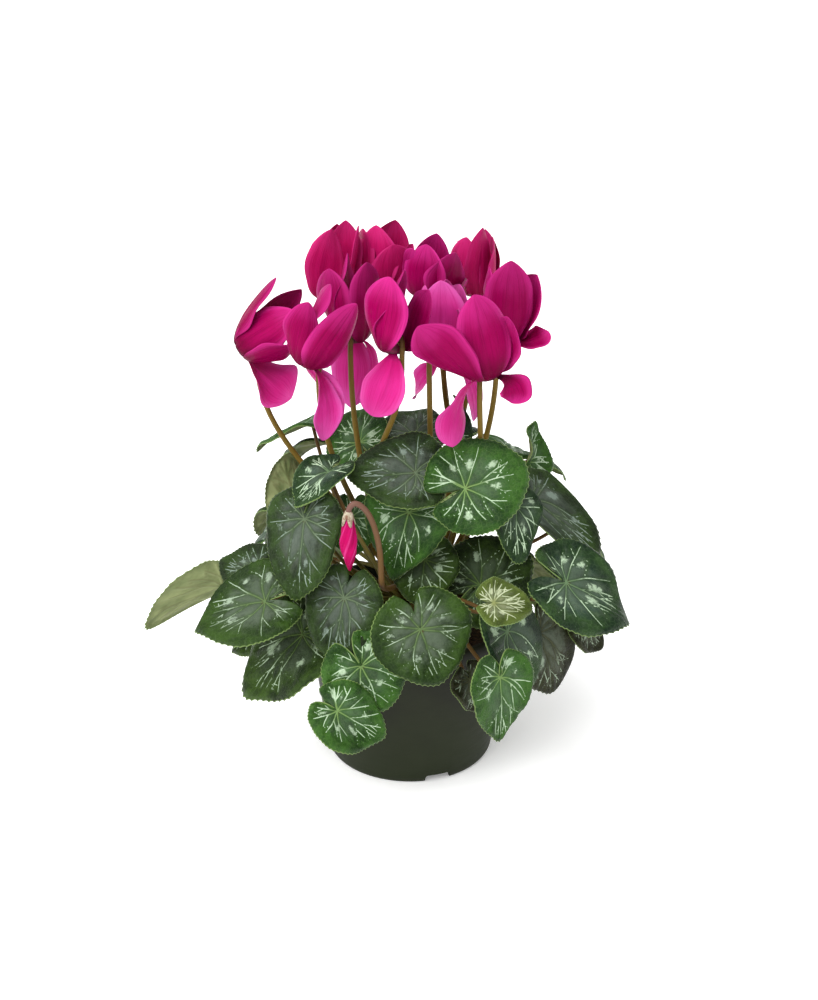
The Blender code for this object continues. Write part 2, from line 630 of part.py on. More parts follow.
def pot_profile(grow=0.0):
    """Profile of the pot wall as a closed loop of (radius, height)."""
    outer = POT_FOOT_RADIUS + grow
    neck = wall_radius(POT_HEIGHT - 4.0) + grow
    rim = POT_RIM_RADIUS + grow
    inner_low = wall_radius(POT_CORNER) - POT_WALL - grow
    inner_top = wall_radius(POT_HEIGHT - 1.2) - POT_WALL - grow
    return (
        (0.0, POT_FLOOR - grow), (POT_FOOT_RADIUS - 5.6, POT_FLOOR - grow), (POT_FOOT_RADIUS - 4.6, 0.0),
        (outer - 2.6, 0.0), (outer - 0.8, 1.2), (outer + 0.2, 4.0),
        (neck, POT_HEIGHT - 4.0), (rim - 2.3, POT_HEIGHT - 4.0),
        (rim - 2.5, POT_HEIGHT - LIP_HEIGHT), (rim - 0.9, POT_HEIGHT - LIP_HEIGHT), (rim, POT_HEIGHT - 2.5),
        (rim - 1.0, POT_HEIGHT), (inner_top + 0.6, POT_HEIGHT),
        (inner_top, POT_HEIGHT - 1.2), (inner_low, POT_CORNER),
        (inner_low - 2.4, POT_FLOOR + POT_WALL + grow),
        (0.0, POT_FLOOR + POT_WALL + grow),
    )


def box_solid(centre, size, heading):
    """A box turned about Z, millimetres."""
    turn = Matrix.Rotation(math.radians(heading), 3, "Z")
    points = []
    for x in (-0.5, 0.5):
        for y in (-0.5, 0.5):
            for z in (-0.5, 0.5):
                points.append((turn @ Vector((x * size[0], y * size[1], z * size[2])) + Vector(centre)) * MM)
    faces = [(0, 1, 3, 2), (4, 6, 7, 5), (0, 4, 5, 1), (2, 3, 7, 6), (0, 2, 6, 4), (1, 5, 7, 3)]
    return points, faces


def build_pot():
    """The pot with its rolled lip, three foot notches and drain holes."""
    pot = to_object("pot", lathe(pot_profile(), POT_SIDES), (0.045, 0.05, 0.035), 0.55)
    cutters = []
    for heading in NOTCH_HEADINGS:
        angle = math.radians(heading)
        centre = (56 * math.cos(angle), 56 * math.sin(angle), NOTCH_HEIGHT / 2 - 1)
        cutters.append(box_solid(centre, (14, NOTCH_WIDTH, NOTCH_HEIGHT + 2), heading))
    for index in range(DRAIN_COUNT):
        angle = 2 * math.pi * (index + 0.5) / DRAIN_COUNT
        low, high = POT_FLOOR - 3, POT_FLOOR + 5
        hole = lathe(((0.0, low), (DRAIN_RADIUS, low), (DRAIN_RADIUS, high), (0.0, high)), 8)
        move = Vector((DRAIN_RING * math.cos(angle), DRAIN_RING * math.sin(angle), 0)) * MM
        cutters.append(([p + move for p in hole[0]], hole[1]))
    cut(pot, cutters)
    return pot


def tuber_profile(grow=0.0):
    """Profile of the flattened tuber, bottom to top."""
    return (
        (0.0, 84.6 - grow), (12.0, 86.4 - grow), (19.4 + grow, 91.0 - grow * 0.5),
        (TUBER_RADIUS + grow, 97.0),
        (20.4 + grow, 102.4), (14.0, 106.8), (9.0, TUBER_TOP), (0.0, TUBER_TOP),
    )


def build_soil():
    """Potting soil filling the pot, with a pocket that the tuber sits in."""
    inside = POT_WALL + GAP
    foot = wall_radius(POT_CORNER) - inside
    edge = wall_radius(SOIL_TOP - 2.0) - inside
    pocket = tuber_profile(GAP)
    profile = (
        (0.0, POT_FLOOR + inside), (foot - 3.2, POT_FLOOR + inside),
        (foot, POT_CORNER + 0.4), (edge, SOIL_TOP - 2.0), (edge - 3, SOIL_TOP - 0.6), (52.0, SOIL_TOP),
        (38.0, SOIL_TOP + 1.0), (28.0, SOIL_TOP + 0.4), (21.4, SOIL_TOP),
        pocket[3], pocket[2], pocket[1], pocket[0],
    )
    solid = lathe(profile, POT_SIDES, SOIL_BUMP, bump_rings=(5, 6, 7))
    return to_object("soil", solid, (0.05, 0.035, 0.022), 0.95)


PETIOLE_TRIALS = tuple(
    (lift, hand, end_share, swing, rise)
    for lift in (40, 55, 70, 25, 80) for hand in (0.45, 0.3, 0.65, 0.85) for end_share in (0.28, 0.16, 0.42)
    for rise in (-0.25, 0.3, 0.8) for swing in (0, 0.25, -0.25, 0.5, -0.5)
)


def seat(leaf, own):
    """The petiole's end: as near under the blade as leaves the wanted gap all round the end."""
    normal = leaf.normal
    base = leaf.attach + leaf.shift
    across, along = leaf.frame.col[0], leaf.frame.col[1]
    for step in range(30):
        end = base - normal * (0.7 + 0.1 * step) * MM
        rim = [end] + [end + way * 1.1 * MM for way in (across, along, -across, -along)]
        if min(own.find_nearest(point)[3] for point in rim) > GAP * MM:
            return end
    return end


def petiole_route(leaf, obstacles, own):
    """The first clear curve from the crown to just under the blade."""
    normal = leaf.normal
    end = seat(leaf, own)
    heading = Vector((end.x, end.y, 0)).normalized()
    side = Vector((-heading.y, heading.x, 0))
    start = Vector((0, 0, PETIOLE_START * MM)) + heading * 5 * MM
    span = (end - start).length
    best, best_room = None, -99.0
    for lift, hand, end_share, swing, rise in PETIOLE_TRIALS:
        way = heading * math.cos(math.radians(lift)) + Vector((0, 0, math.sin(math.radians(lift))))
        way = (way + side * swing).normalized()
        tail = (Vector((0, 0, rise)) - normal - side * swing * 0.3).normalized()
        points = curve(start, start + way * span * hand, end + tail * span * end_share, end, PETIOLE_SHARES)
        room = route_room(points, PETIOLE_RADIUS, obstacles, own)
        if room > best_room:
            best, best_room = points, room
        if room > ROUTE_ROOM:
            break
    return best


def route_room(points, radius, others, own):
    """Least clearance in millimetres along a route, from other pieces and from the piece it carries."""
    room = 9.0
    steps = len(points) - 1
    for i in range(steps):
        count = max(2, math.ceil((points[i + 1] - points[i]).length / (2.6 * MM)))
        for part in range(count):
            point = points[i].lerp(points[i + 1], part / count)
            reach = (point.x ** 2 + point.y ** 2) ** 0.5
            if i > 1 and point.z < 0.104 and reach < 0.08:
                return -9.0
            hit = others.find_nearest(point, 0.012)
            if hit[0] is not None:
                room = min(room, hit[3] / MM - radius)
            hit = own.find_nearest(point, 0.012)
            if hit[0] is not None:
                room = min(room, hit[3] / MM - min(radius, 1.1 + (points[-1] - point).length / MM * 0.3))
            if room < -1.4:
                return room
    return room


PEDICEL_TRIALS = tuple(
    (lift, hand, drop, swing)
    for drop in (0.3, 0.15, 0.45) for hand in (0.45, 0.65, 0.3) for lift in (66, 78, 90, 54, 102, 42)
    for swing in (0, 0.2, -0.2, 0.4, -0.4, 0.7, -0.7)
)


def hook_points(bloom, out, turn, spread):
    """The end of a pedicel: up beside the tube, over and down to the calyx."""
    places = (
        (out + spread, -1.0), (out - 0.2 + 0.4 * spread, 6.0), (out - 1.8, 11.0), (4.0, 14.6), (0.7, 14.4),
        (0.0, TUBE_HEIGHT + 2.2),
    )
    angle = math.radians(turn)
    hook = [bloom.world(far * math.cos(angle), far * math.sin(angle), height) for far, height in places]
    inward = -Vector((bloom.mouth.x, bloom.mouth.y, 0)).normalized()
    below = hook[0] + (inward * 0.05 * spread + Vector((0, 0, -1))) * (8 + spread) * MM
    return [below] + hook


def pedicel_route(bloom, obstacles, own):
    """A clear way up from the crown, past the gap between two petals and over to the calyx."""
    tilt = bloom.frame.col[2].z
    spreads = (0.0, 3.0, 6.0) if tilt > 0.85 else (8.0, 5.0, 2.0, 0.0)
    hooks = []
    for spread in spreads:
        for out in (8.4, 9.4, 10.4):
            for turn in (0, 8, -8, 16, -16, 24, -24):
                hook = hook_points(bloom, out, turn, spread)
                room = route_room(hook, HOOK_RADIUS, obstacles, own)
                hooks.append((min(room, 0.6), hook))
    hooks.sort(key=lambda pair: -pair[0])
    best, best_room = None, -99.0
    for hook_room, hook in hooks[:6]:
        down = (hook[0] - hook[1]).normalized()
        heading = Vector((hook[0].x, hook[0].y, 0)).normalized()
        side = Vector((-heading.y, heading.x, 0))
        start = Vector((0, 0, PEDICEL_START * MM)) + heading * 3 * MM
        span = (hook[0] - start).length
        fall = (down * 0.4 + Vector((0, 0, -1))).normalized()
        for lift, hand, drop, swing in PEDICEL_TRIALS:
            way = heading * math.cos(math.radians(lift)) + Vector((0, 0, math.sin(math.radians(lift))))
            way = (way + side * swing).normalized()
            late = hook[0] + fall * span * drop
            points = curve(start, start + way * span * hand, late, hook[0], PEDICEL_SHARES)
            room = min(hook_room, route_room(points + hook[1:3], PEDICEL_RADIUS, obstacles, own))
            if room > best_room:
                best, best_room = points + hook[1:], room
            if room > ROUTE_ROOM:
                return best
    return best


def tapered(start, end, count, tail=0):
    """Radii from start to end, the last few a little thinner."""
    radii = [start + (end - start) * i / (count - 1) for i in range(count)]
    for i in range(tail):
        radii[-1 - i] *= 0.8
    return radii


def build_tuber():
    """The flattened round tuber, its top just above the soil."""
    return to_object("tuber", lathe(tuber_profile(), 20), (0.10, 0.055, 0.03), 0.9)


def crown_solid():
    """The short crown on the tuber that every stem grows from."""
    profile = (
        (0.0, CROWN_BASE), (9.0, CROWN_BASE), (11.5, 111.0), (11.0, 115.0), (7.0, 118.6), (0.0, CROWN_TOP),
    )
    return lathe(profile, 10)


def bud_solid():
    """The closed, pointed bud hanging below its hook."""
    start = vec(BUD_TOP) + vec(BUD_HOOK[-1]) + vec((0.25, 0, -1.6 - GAP - 0.1))
    tip = vec(BUD_TIP)
    line = curve(start, start + vec((-1.0, 0, -15)), tip + vec((0, 0, 12)), tip, (0, 0.2, 0.4, 0.6, 0.8, 1))
    return sweep(line, (3.0, 4.6, 5.6, 5.0, 3.0, 0.7), 8)


def bud_stem_solids():
    """The bud's stem, from the crown up and over, and its little calyx."""
    top = vec(BUD_TOP)
    hook = [top + vec(step) for step in BUD_HOOK]
    start = vec((0, -6, PEDICEL_START))
    low = curve(start, start + vec((0, -30, 50)), hook[0] + vec((1, 12, -24)), hook[0], PEDICEL_SHARES)
    line = low + hook[1:]
    calyx = sweep([hook[-1] + vec((0, 0, 3)), hook[-1] + vec((0.2, 0, -1.6))], (2.4, 3.4), 8)
    return [sweep(line, [BUD_STEM_RADIUS] * len(line), 6), calyx]


def calyx_solid(bloom):
    """The shallow cone of sepals on top of a bloom's tube."""
    base = TUBE_HEIGHT + GAP
    points, faces = lathe(((0.0, base), (4.4, base), (3.4, 10.4), (0.0, 12.0)), 6)
    return [bloom.world(*(p / MM)) for p in points], faces


def build_stems(leaves, blooms, bud):
    """Crown, petioles, pedicels and calyces, each routed clear of every blade and petal."""
    blades = {leaf.name: leaf.solid() for leaf in leaves}
    flowers = {bloom.name: bloom.solids() for bloom in blooms}
    petals = [solid for parts in flowers.values() for solid in parts]
    rim = lathe(pot_profile(0.3), 24)
    stems = [crown_solid()]
    for leaf in leaves:
        others = [solid for name, solid in blades.items() if name != leaf.name]
        route = petiole_route(leaf, tree(others + petals + [rim, bud]), tree([blades[leaf.name]]))
        stems.append(sweep(route, tapered(1.7, 1.3, len(route), 1), 4))
    for bloom in blooms:
        others = [solid for name, parts in flowers.items() if name != bloom.name for solid in parts]
        own = tree(flowers[bloom.name][1:])
        route = pedicel_route(bloom, tree(others + list(blades.values()) + [bud]), own)
        lower = len(PEDICEL_SHARES)
        radii = [PEDICEL_RADIUS] * lower + [HOOK_RADIUS] * (len(route) - lower)
        stems += [sweep(route, radii, 5), calyx_solid(bloom)]
    return unite("stems", stems + bud_stem_solids(), (0.09, 0.06, 0.025), 0.6)


def main():
    """Build every piece."""
    clear_scene()
    leaves = [Leaf(row) for row in LEAVES]
    blooms = [Bloom(row) for row in BLOOMS]
    settle(leaves, blooms)

    build_pot()
    build_soil()
    build_tuber()
    for index, leaf in enumerate(leaves):
        to_object(leaf.name, leaf.solid(), LEAF_GREENS[index % len(LEAF_GREENS)], 0.45)
    for bloom in blooms:
        unite(bloom.name, bloom.solids(), PETAL_COLOUR, 0.55)
    bud = bud_solid()
    to_object("bud", bud, BUD_COLOUR, 0.5)
    build_stems(leaves, blooms, bud)
    for item in bpy.data.objects:
        item.data.transform(Matrix.Translation(vec(POT_PLACE)))


main()
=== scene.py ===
"""Looks of the potted cyclamen: fine blades, blooms, stems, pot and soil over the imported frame.

Metres, +Z up; -Y is the front. Each fine piece follows the form of the CAD node that it stands for.
Shapes are worked out about the pot's axis, in millimetres and degrees as in the plan tables, and each
finished mesh is then moved by POT_PLACE, which is where the frame has that axis.
"""
import json
import logging
import math
import random
from collections.abc import Sequence
from dataclasses import dataclass
from enum import Enum
from itertools import product

import bmesh
import bpy
import numpy as np
from mathutils import Matrix, Vector, kdtree
from mathutils.bvhtree import BVHTree

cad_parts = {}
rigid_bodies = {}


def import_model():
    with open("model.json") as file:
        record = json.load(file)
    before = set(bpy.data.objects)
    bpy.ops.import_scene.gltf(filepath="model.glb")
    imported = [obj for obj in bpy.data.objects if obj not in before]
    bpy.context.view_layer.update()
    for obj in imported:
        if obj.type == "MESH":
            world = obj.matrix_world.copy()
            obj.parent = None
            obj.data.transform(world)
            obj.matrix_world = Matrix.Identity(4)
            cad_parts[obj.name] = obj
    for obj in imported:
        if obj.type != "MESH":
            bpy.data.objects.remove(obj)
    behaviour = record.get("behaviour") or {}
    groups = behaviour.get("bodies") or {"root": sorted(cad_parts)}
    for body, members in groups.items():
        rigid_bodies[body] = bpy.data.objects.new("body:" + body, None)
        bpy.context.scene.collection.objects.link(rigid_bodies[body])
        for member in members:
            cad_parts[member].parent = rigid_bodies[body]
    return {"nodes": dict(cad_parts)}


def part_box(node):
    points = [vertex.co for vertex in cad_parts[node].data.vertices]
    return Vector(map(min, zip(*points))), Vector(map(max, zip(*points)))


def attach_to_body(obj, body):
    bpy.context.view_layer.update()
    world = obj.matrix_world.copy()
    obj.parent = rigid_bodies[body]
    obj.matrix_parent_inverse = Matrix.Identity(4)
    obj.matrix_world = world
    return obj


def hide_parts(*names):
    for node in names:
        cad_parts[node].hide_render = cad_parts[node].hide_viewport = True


logging.basicConfig(level=logging.INFO, format="%(message)s")
LOG = logging.getLogger("cyclamen")

Array = np.ndarray
Item = bpy.types.Object
Mesh = bpy.types.Mesh
Material = bpy.types.Material
Points = list[Vector]
Socket = bpy.types.NodeSocket
Value = Socket | float | tuple
Work = bmesh.types.BMesh

MM = 0.001
SEED = 11
POT_PLACE = Vector((15.1, 1.3, 0.0)) * MM

# The photograph's frame and viewpoint
IMAGE_HEIGHT = 1000
CAMERA_DISTANCE = 1.7
CAMERA_ELEVATION = 26.0
CAMERA_TARGET = Vector((0.0144, 0.0013, 0.196))
METRES_PER_PIXEL = 0.0007
SENSOR = 24.0

# The studio is bright enough for a white floor, so colours are this much darker than they look
REFLECTANCE = 0.62


class LeafTone(Enum):
    """Overall colouring of a blade."""

    BRIGHT = "bright"
    DARK = "dark"
    BLUE = "blue"
    GREY = "grey"
    SLATE = "slate"
    OLIVE = "olive"
    DUSK = "dusk"


class PetalTone(Enum):
    """Overall colouring of a bloom."""

    BRIGHT = "bright"
    CRIMSON = "crimson"
    LILAC = "lilac"
    BUD = "bud"


BRIGHT, DARK, BLUE, GREY, SLATE, OLIVE, DUSK = LeafTone

# Leaf blades: name after leaf_, attachment, tip, width, roll about the tip line, narrowing,
# (fold, left curl, right curl, droop) in degrees, (wave height over half width, waves, phase), tone.
LEAVES = (
    ("front_lowest", (-49, -130, 103), (-18, -129, 78), 47, 4, 0.05, (14, -12, 18, 10),
     (0.1, 4, 0.5), BRIGHT),
    ("front_right", (52, -114, 122), (57, -118, 70), 47, 0, 0.35, (8, -10, 12, 10), (0.09, 4, 2.2), BRIGHT),
    ("young_right", (55, -120, 179), (84, -114, 173), 31, 0, 0.45, (10, 16, 16, 8), (0.04, 4, 0.0), OLIVE),
    ("front_centre", (7, -116, 157), (20, -130, 122), 68, 0, 0.2, (5, -12, -12, 12), (0.06, 3, 2.0), GREY),
    ("front_low", (-31, -110, 126), (-13, -116, 95), 58, 0, 0.1, (8, 20, -6, 12), (0.1, 4, 1.2), BRIGHT),
    ("crown_right", (37, -64, 235), (80, -54, 247), 66, 4, 0.05, (4, -10, -12, 6), (0.05, 4, 0.3), BRIGHT),
    ("crown_front", (4, -46, 238), (-42, -52, 242), 54, -4, 0.3, (20, -4, -10, 12), (0.09, 3, 1.4), SLATE),
    ("left_small", (-54, -62, 247), (-77, -86, 236), 41, 8, 0.3, (20, -10, -8, 10), (0.07, 4, 0.0), BLUE),
    ("centre", (0, -70, 222), (-13, -84, 176), 56, 0, 0.7, (24, -8, -10, 12), (0.08, 3, 1.0), BRIGHT),
    ("left_grey", (-70, -82, 222), (-82, -106, 173), 57, -4, 0.15, (10, -50, -8, 12), (0.07, 4, 2.5), SLATE),
    ("right_mid", (66, -54, 214), (72, -80, 184), 44, 0, 0.4, (10, -16, -16, 12), (0.09, 4, 0.9), BLUE),
    ("right_silver", (70, -91, 139), (100, -82, 87), 64, 4, 0.25, (10, -20, 20, 16), (0.07, 3, 0.8), BLUE),
    ("under_bud", (-40, -93, 165), (-52, -112, 121), 56, 0, 0.15, (8, -30, -12, 16), (0.07, 3, 0.6), SLATE),
    ("left_long", (-93, -86, 156), (-148, -80, 140), 64, 4, 0.35, (12, -16, -12, 16), (0.07, 4, 0.4), GREY),
    ("bottom_left", (-77, -80, 134), (-126, -86, 92), 72, -4, 0.2, (8, -14, -14, 14), (0.09, 4, 1.7), DARK),
    ("right_big", (104, -74, 168), (156, -66, 140), 68, 8, 0.2, (12, -20, -14, 14), (0.1, 4, 2.8), BLUE),
    ("right_upper", (86, -26, 212), (144, -36, 178), 56, 24, 0.35, (8, -16, 50, 14), (0.1, 3, 0.2), SLATE),
    ("right_small", (117, -34, 116), (133, -30, 95), 34, 30, 0.2, (12, -16, -16, 12), (0.07, 4, 0.7), DUSK),
    ("right_low", (95, -62, 122), (116, -58, 64), 56, 36, 0.2, (10, -14, -16, 14), (0.06, 4, 1.1), DUSK),
    ("left_far", (-130, -34, 146), (-189, -26, 122), 54, 62, 0.1, (12, 24, 20, 12), (0.05, 3, 1.9), BLUE),
    ("left_behind", (-101, -62, 167), (-126, -50, 173), 44, -4, 0.2, (10, -14, -14, 12),
     (0.05, 4, 1.3), SLATE),
    ("centre_right", (51, -58, 159), (86, -52, 179), 66, 4, 0.1, (8, -14, -14, 12), (0.05, 4, 0.5), DARK),
    ("centre_deep", (10, -58, 179), (3, -74, 153), 48, 0, 0.2, (10, -14, -14, 12), (0.05, 4, 2.1), DARK),
    ("behind_bud", (-41, -52, 208), (-41, -66, 185), 42, 0, 0.2, (12, -14, -14, 12), (0.05, 4, 0.6), BRIGHT),
    ("left_upper", (-87, -52, 205), (-111, -58, 178), 42, 0, 0.2, (10, -14, -14, 12), (0.05, 4, 0.2), SLATE),
    ("left_pale", (-80, -6, 200), (-90, 2, 231), 40, -80, 0.1, (10, 10, 16, 8), (0.05, 4, 1.0), BRIGHT),
    ("left_edge", (-68, 40, 234), (-112, 54, 217), 50, 0, 0.35, (16, -14, -14, 12), (0.05, 4, 0.8), BRIGHT),
    ("back_left_top", (-36, 4, 240), (-50, 37, 249), 50, 4, 0.2, (14, -12, -14, 8), (0.05, 4, 0.0), BRIGHT),
    ("back_centre_top", (2, 6, 243), (12, 43, 250), 50, 0, 0.15, (12, -12, -14, 8), (0.05, 4, 2.0), SLATE),
    ("back_right_top", (31, 4, 242), (33, 12, 271), 38, 0, 0.2, (20, 18, 20, 8), (0.05, 4, 0.6), BLUE),
    ("right_top_curl", (82, 14, 216), (88, 30, 240), 36, 0, 0.2, (20, 26, 30, 6), (0.08, 4, 1.6), BRIGHT),
    ("pot_shade", (41, -88, 102), (50, -91, 76), 32, 0, 0.3, (12, -16, -12, 10), (0.06, 4, 0.0), DUSK),
    ("left_low", (-107, -34, 113), (-130, -28, 95), 40, 0, 0.2, (12, -14, -14, 12), (0.05, 4, 0.9), DARK),
    ("back_right_high", (78, 52, 214), (122, 68, 194), 66, 0, 0.2, (12, -16, -16, 14),
     (0.06, 4, 0.5), BRIGHT),
    ("back_high", (16, 78, 216), (21, 122, 197), 68, 0, 0.1, (10, -16, -14, 14), (0.06, 4, 1.4), BLUE),
    ("back_left_high", (-56, 76, 206), (-88, 106, 186), 66, 0, 0.3, (14, -16, -18, 14), (0.06, 3, 2.2), DARK),
    ("side_right", (108, 34, 160), (146, 44, 122), 60, 0, 0.3, (12, -18, -16, 16), (0.06, 4, 0.1), BRIGHT),
    ("side_left", (-98, 30, 158), (-138, 42, 118), 60, 0, 0.2, (12, -18, -16, 16), (0.06, 4, 1.0), BLUE),
    ("back_right_mid", (96, 82, 158), (130, 110, 124), 66, 0, 0.15, (12, -16, -20, 16), (0.06, 4, 1.6), BLUE),
    ("back_mid", (22, 116, 158), (30, 154, 121), 68, 0, 0.25, (10, -18, -16, 18), (0.06, 4, 0.4), BRIGHT),
    ("back_left_mid", (-82, 88, 154), (-112, 120, 118), 66, 0, 0.1, (12, -16, -18, 16), (0.06, 4, 2.6), GREY),
    ("back_low_right", (88, 62, 112), (108, 78, 66), 60, 0, 0.25, (12, -18, -16, 14), (0.06, 4, 1.2), DARK),
    ("back_low_left", (-66, 88, 110), (-82, 104, 64), 60, 0, 0.3, (12, -16, -16, 14), (0.06, 4, 0.2), BRIGHT),
)

# Blooms: name after bloom_, mouth, lean of the tube (x, y per unit up), heading of the pedicel gap, then five
# petals counted round from the gap: tip from the mouth, width and twist; last the tone.
BLOOMS = (
    ("far_left", (-111, -18, 315), (1.3, 0.10), 45, (
        (41, 18, 38, 30, 20), (25, 6, 51, 32, 10), (38, -13, 34, 32, -15),
        (42, -18, 13, 30, 20), (34, -10, -30, 40, 70)), PetalTone.BRIGHT),
    ("front_left", (-71, -48, 319), (0.45, 0.0), 40, (
        (24, 13, -42, 30, 30), (17, 10, 53, 30, 50), (3, -4, 46, 26, 60),
        (34, -4, 45, 37, 10), (11, -6, -52, 26, 50)), PetalTone.BRIGHT),
    ("top_left", (-56, 35, 332), (0.15, 0.05), -60, (
        (21, 2, 54, 32, 0), (12, 13, 54, 28, 30), (6, 17, 50, 28, 20),
        (-6, 0, 45, 24, 40), (3, -5, 54, 28, 60)), PetalTone.CRIMSON),
    ("left_centre", (-39, -2, 317), (0.08, 0.05), -90, (
        (10, -4, 58, 36, 0), (11, 12, -38, 26, 20), (-2, 10, -54, 32, 20),
        (-3, 8, 60, 34, 20), (-15, 0, 52, 34, 30)), PetalTone.BRIGHT),
    ("centre", (-12, -55, 331), (0.10, 0.05), -30, (
        (24, -2, 44, 34, 30), (22, 23, -6, 24, 20), (8, 8, 54, 36, 20),
        (-1, -5, 54, 38, 20), (-13, -7, -43, 30, 10)), PetalTone.BRIGHT),
    ("top_centre", (-17, 50, 336), (0.02, 0.10), 60, (
        (7, 13, 45, 32, 0), (-15, 1, 43, 32, 20), (-6, -6, 48, 34, 0),
        (5, -15, 37, 34, 0), (19, -2, 33, 28, 30)), PetalTone.CRIMSON),
    ("top_middle", (15, 22, 338), (0.14, 0.08), 60, (
        (6, 15, 43, 30, 0), (-10, -2, 38, 28, 40), (-1, -7, 43, 35, 0),
        (18, -6, 37, 36, 0), (27, 0, 15, 28, 0)), PetalTone.BRIGHT),
    ("pink_centre", (19, -18, 319), (0.18, 0.06), 230, (
        (1, -5, 50, 34, 0), (13, -11, 32, 20, 60), (14, 6, 43, 31, 0),
        (5, 13, 44, 28, 20), (-9, 4, 43, 28, 30)), PetalTone.LILAC),
    ("front_right", (50, -60, 314), (-0.12, 0.04), 120, (
        (-22, -8, -46, 34, 60), (-45, -20, 45, 40, 50), (-9, -3, 60, 42, 0),
        (17, -7, -15, 32, 45), (13, 4, 42, 34, 30)), PetalTone.BRIGHT),
    ("top_right", (44, 45, 332), (-0.02, 0.05), 90, (
        (-14, 5, 38, 26, 30), (-8, -4, 44, 28, 30), (3, -7, 52, 26, 60),
        (10, 2, 42, 28, 30), (5, 12, 44, 28, 0)), PetalTone.CRIMSON),
    ("right", (64, -5, 317), (-0.06, 0.08), 222, (
        (3, -7, 62, 36, 0), (29, -5, 11, 20, 70), (21, 4, 48, 38, 10),
        (4, 13, 53, 32, 0), (-11, 0, 55, 31, 20)), PetalTone.BRIGHT),
    ("back_low", (25, 18, 293), (0.10, 0.10), 100, (
        (-7, 7, 40, 26, 20), (-21, -6, -24, 26, 20), (2, -7, 43, 28, 20),
        (20, 4, -46, 24, 30), (8, 9, 41, 28, 20)), PetalTone.CRIMSON),
)


def vec(triple: Sequence[float]) -> Vector:
    """A place in millimetres as a vector in metres."""
    return Vector(triple) * MM


def srgb(red: float, green: float, blue: float) -> tuple[float, float, float, float]:
    """A colour as it looks, darkened to the studio's light.

    Args:
        red: red part, 0 to 255.
        green: green part, 0 to 255.
        blue: blue part, 0 to 255.

    Returns:
        Linear RGBA for a socket.
    """
    linear = []
    for value in (red, green, blue):
        value /= 255.0
        linear.append(value / 12.92 if value <= 0.04045 else ((value + 0.055) / 1.055) ** 2.4)
    return (*(REFLECTANCE * value for value in linear), 1.0)


def smooth_step(low: float, high: float, values: Array) -> Array:
    """Smooth rise from 0 at low to 1 at high."""
    share = np.clip((values - low) / (high - low), 0.0, 1.0)
    return share * share * (3 - 2 * share)


def cubic(start: Vector, hand: Vector, late: Vector, end: Vector, shares: Sequence[float]) -> Points:
    """Points of a cubic curve.

    Args:
        start: where it starts.
        hand: the first control point.
        late: the second control point.
        end: where it ends.
        shares: shares of its run, from 0 to 1.

    Returns:
        One point for each share.
    """
    points = []
    for t in shares:
        a, b, c, d = (1 - t) ** 3, 3 * (1 - t) ** 2 * t, 3 * (1 - t) * t * t, t ** 3
        points.append(start * a + hand * b + late * c + end * d)
    return points


def spread(count: int) -> list[float]:
    """Evenly spaced shares from 0 to 1."""
    return [i / (count - 1) for i in range(count)]


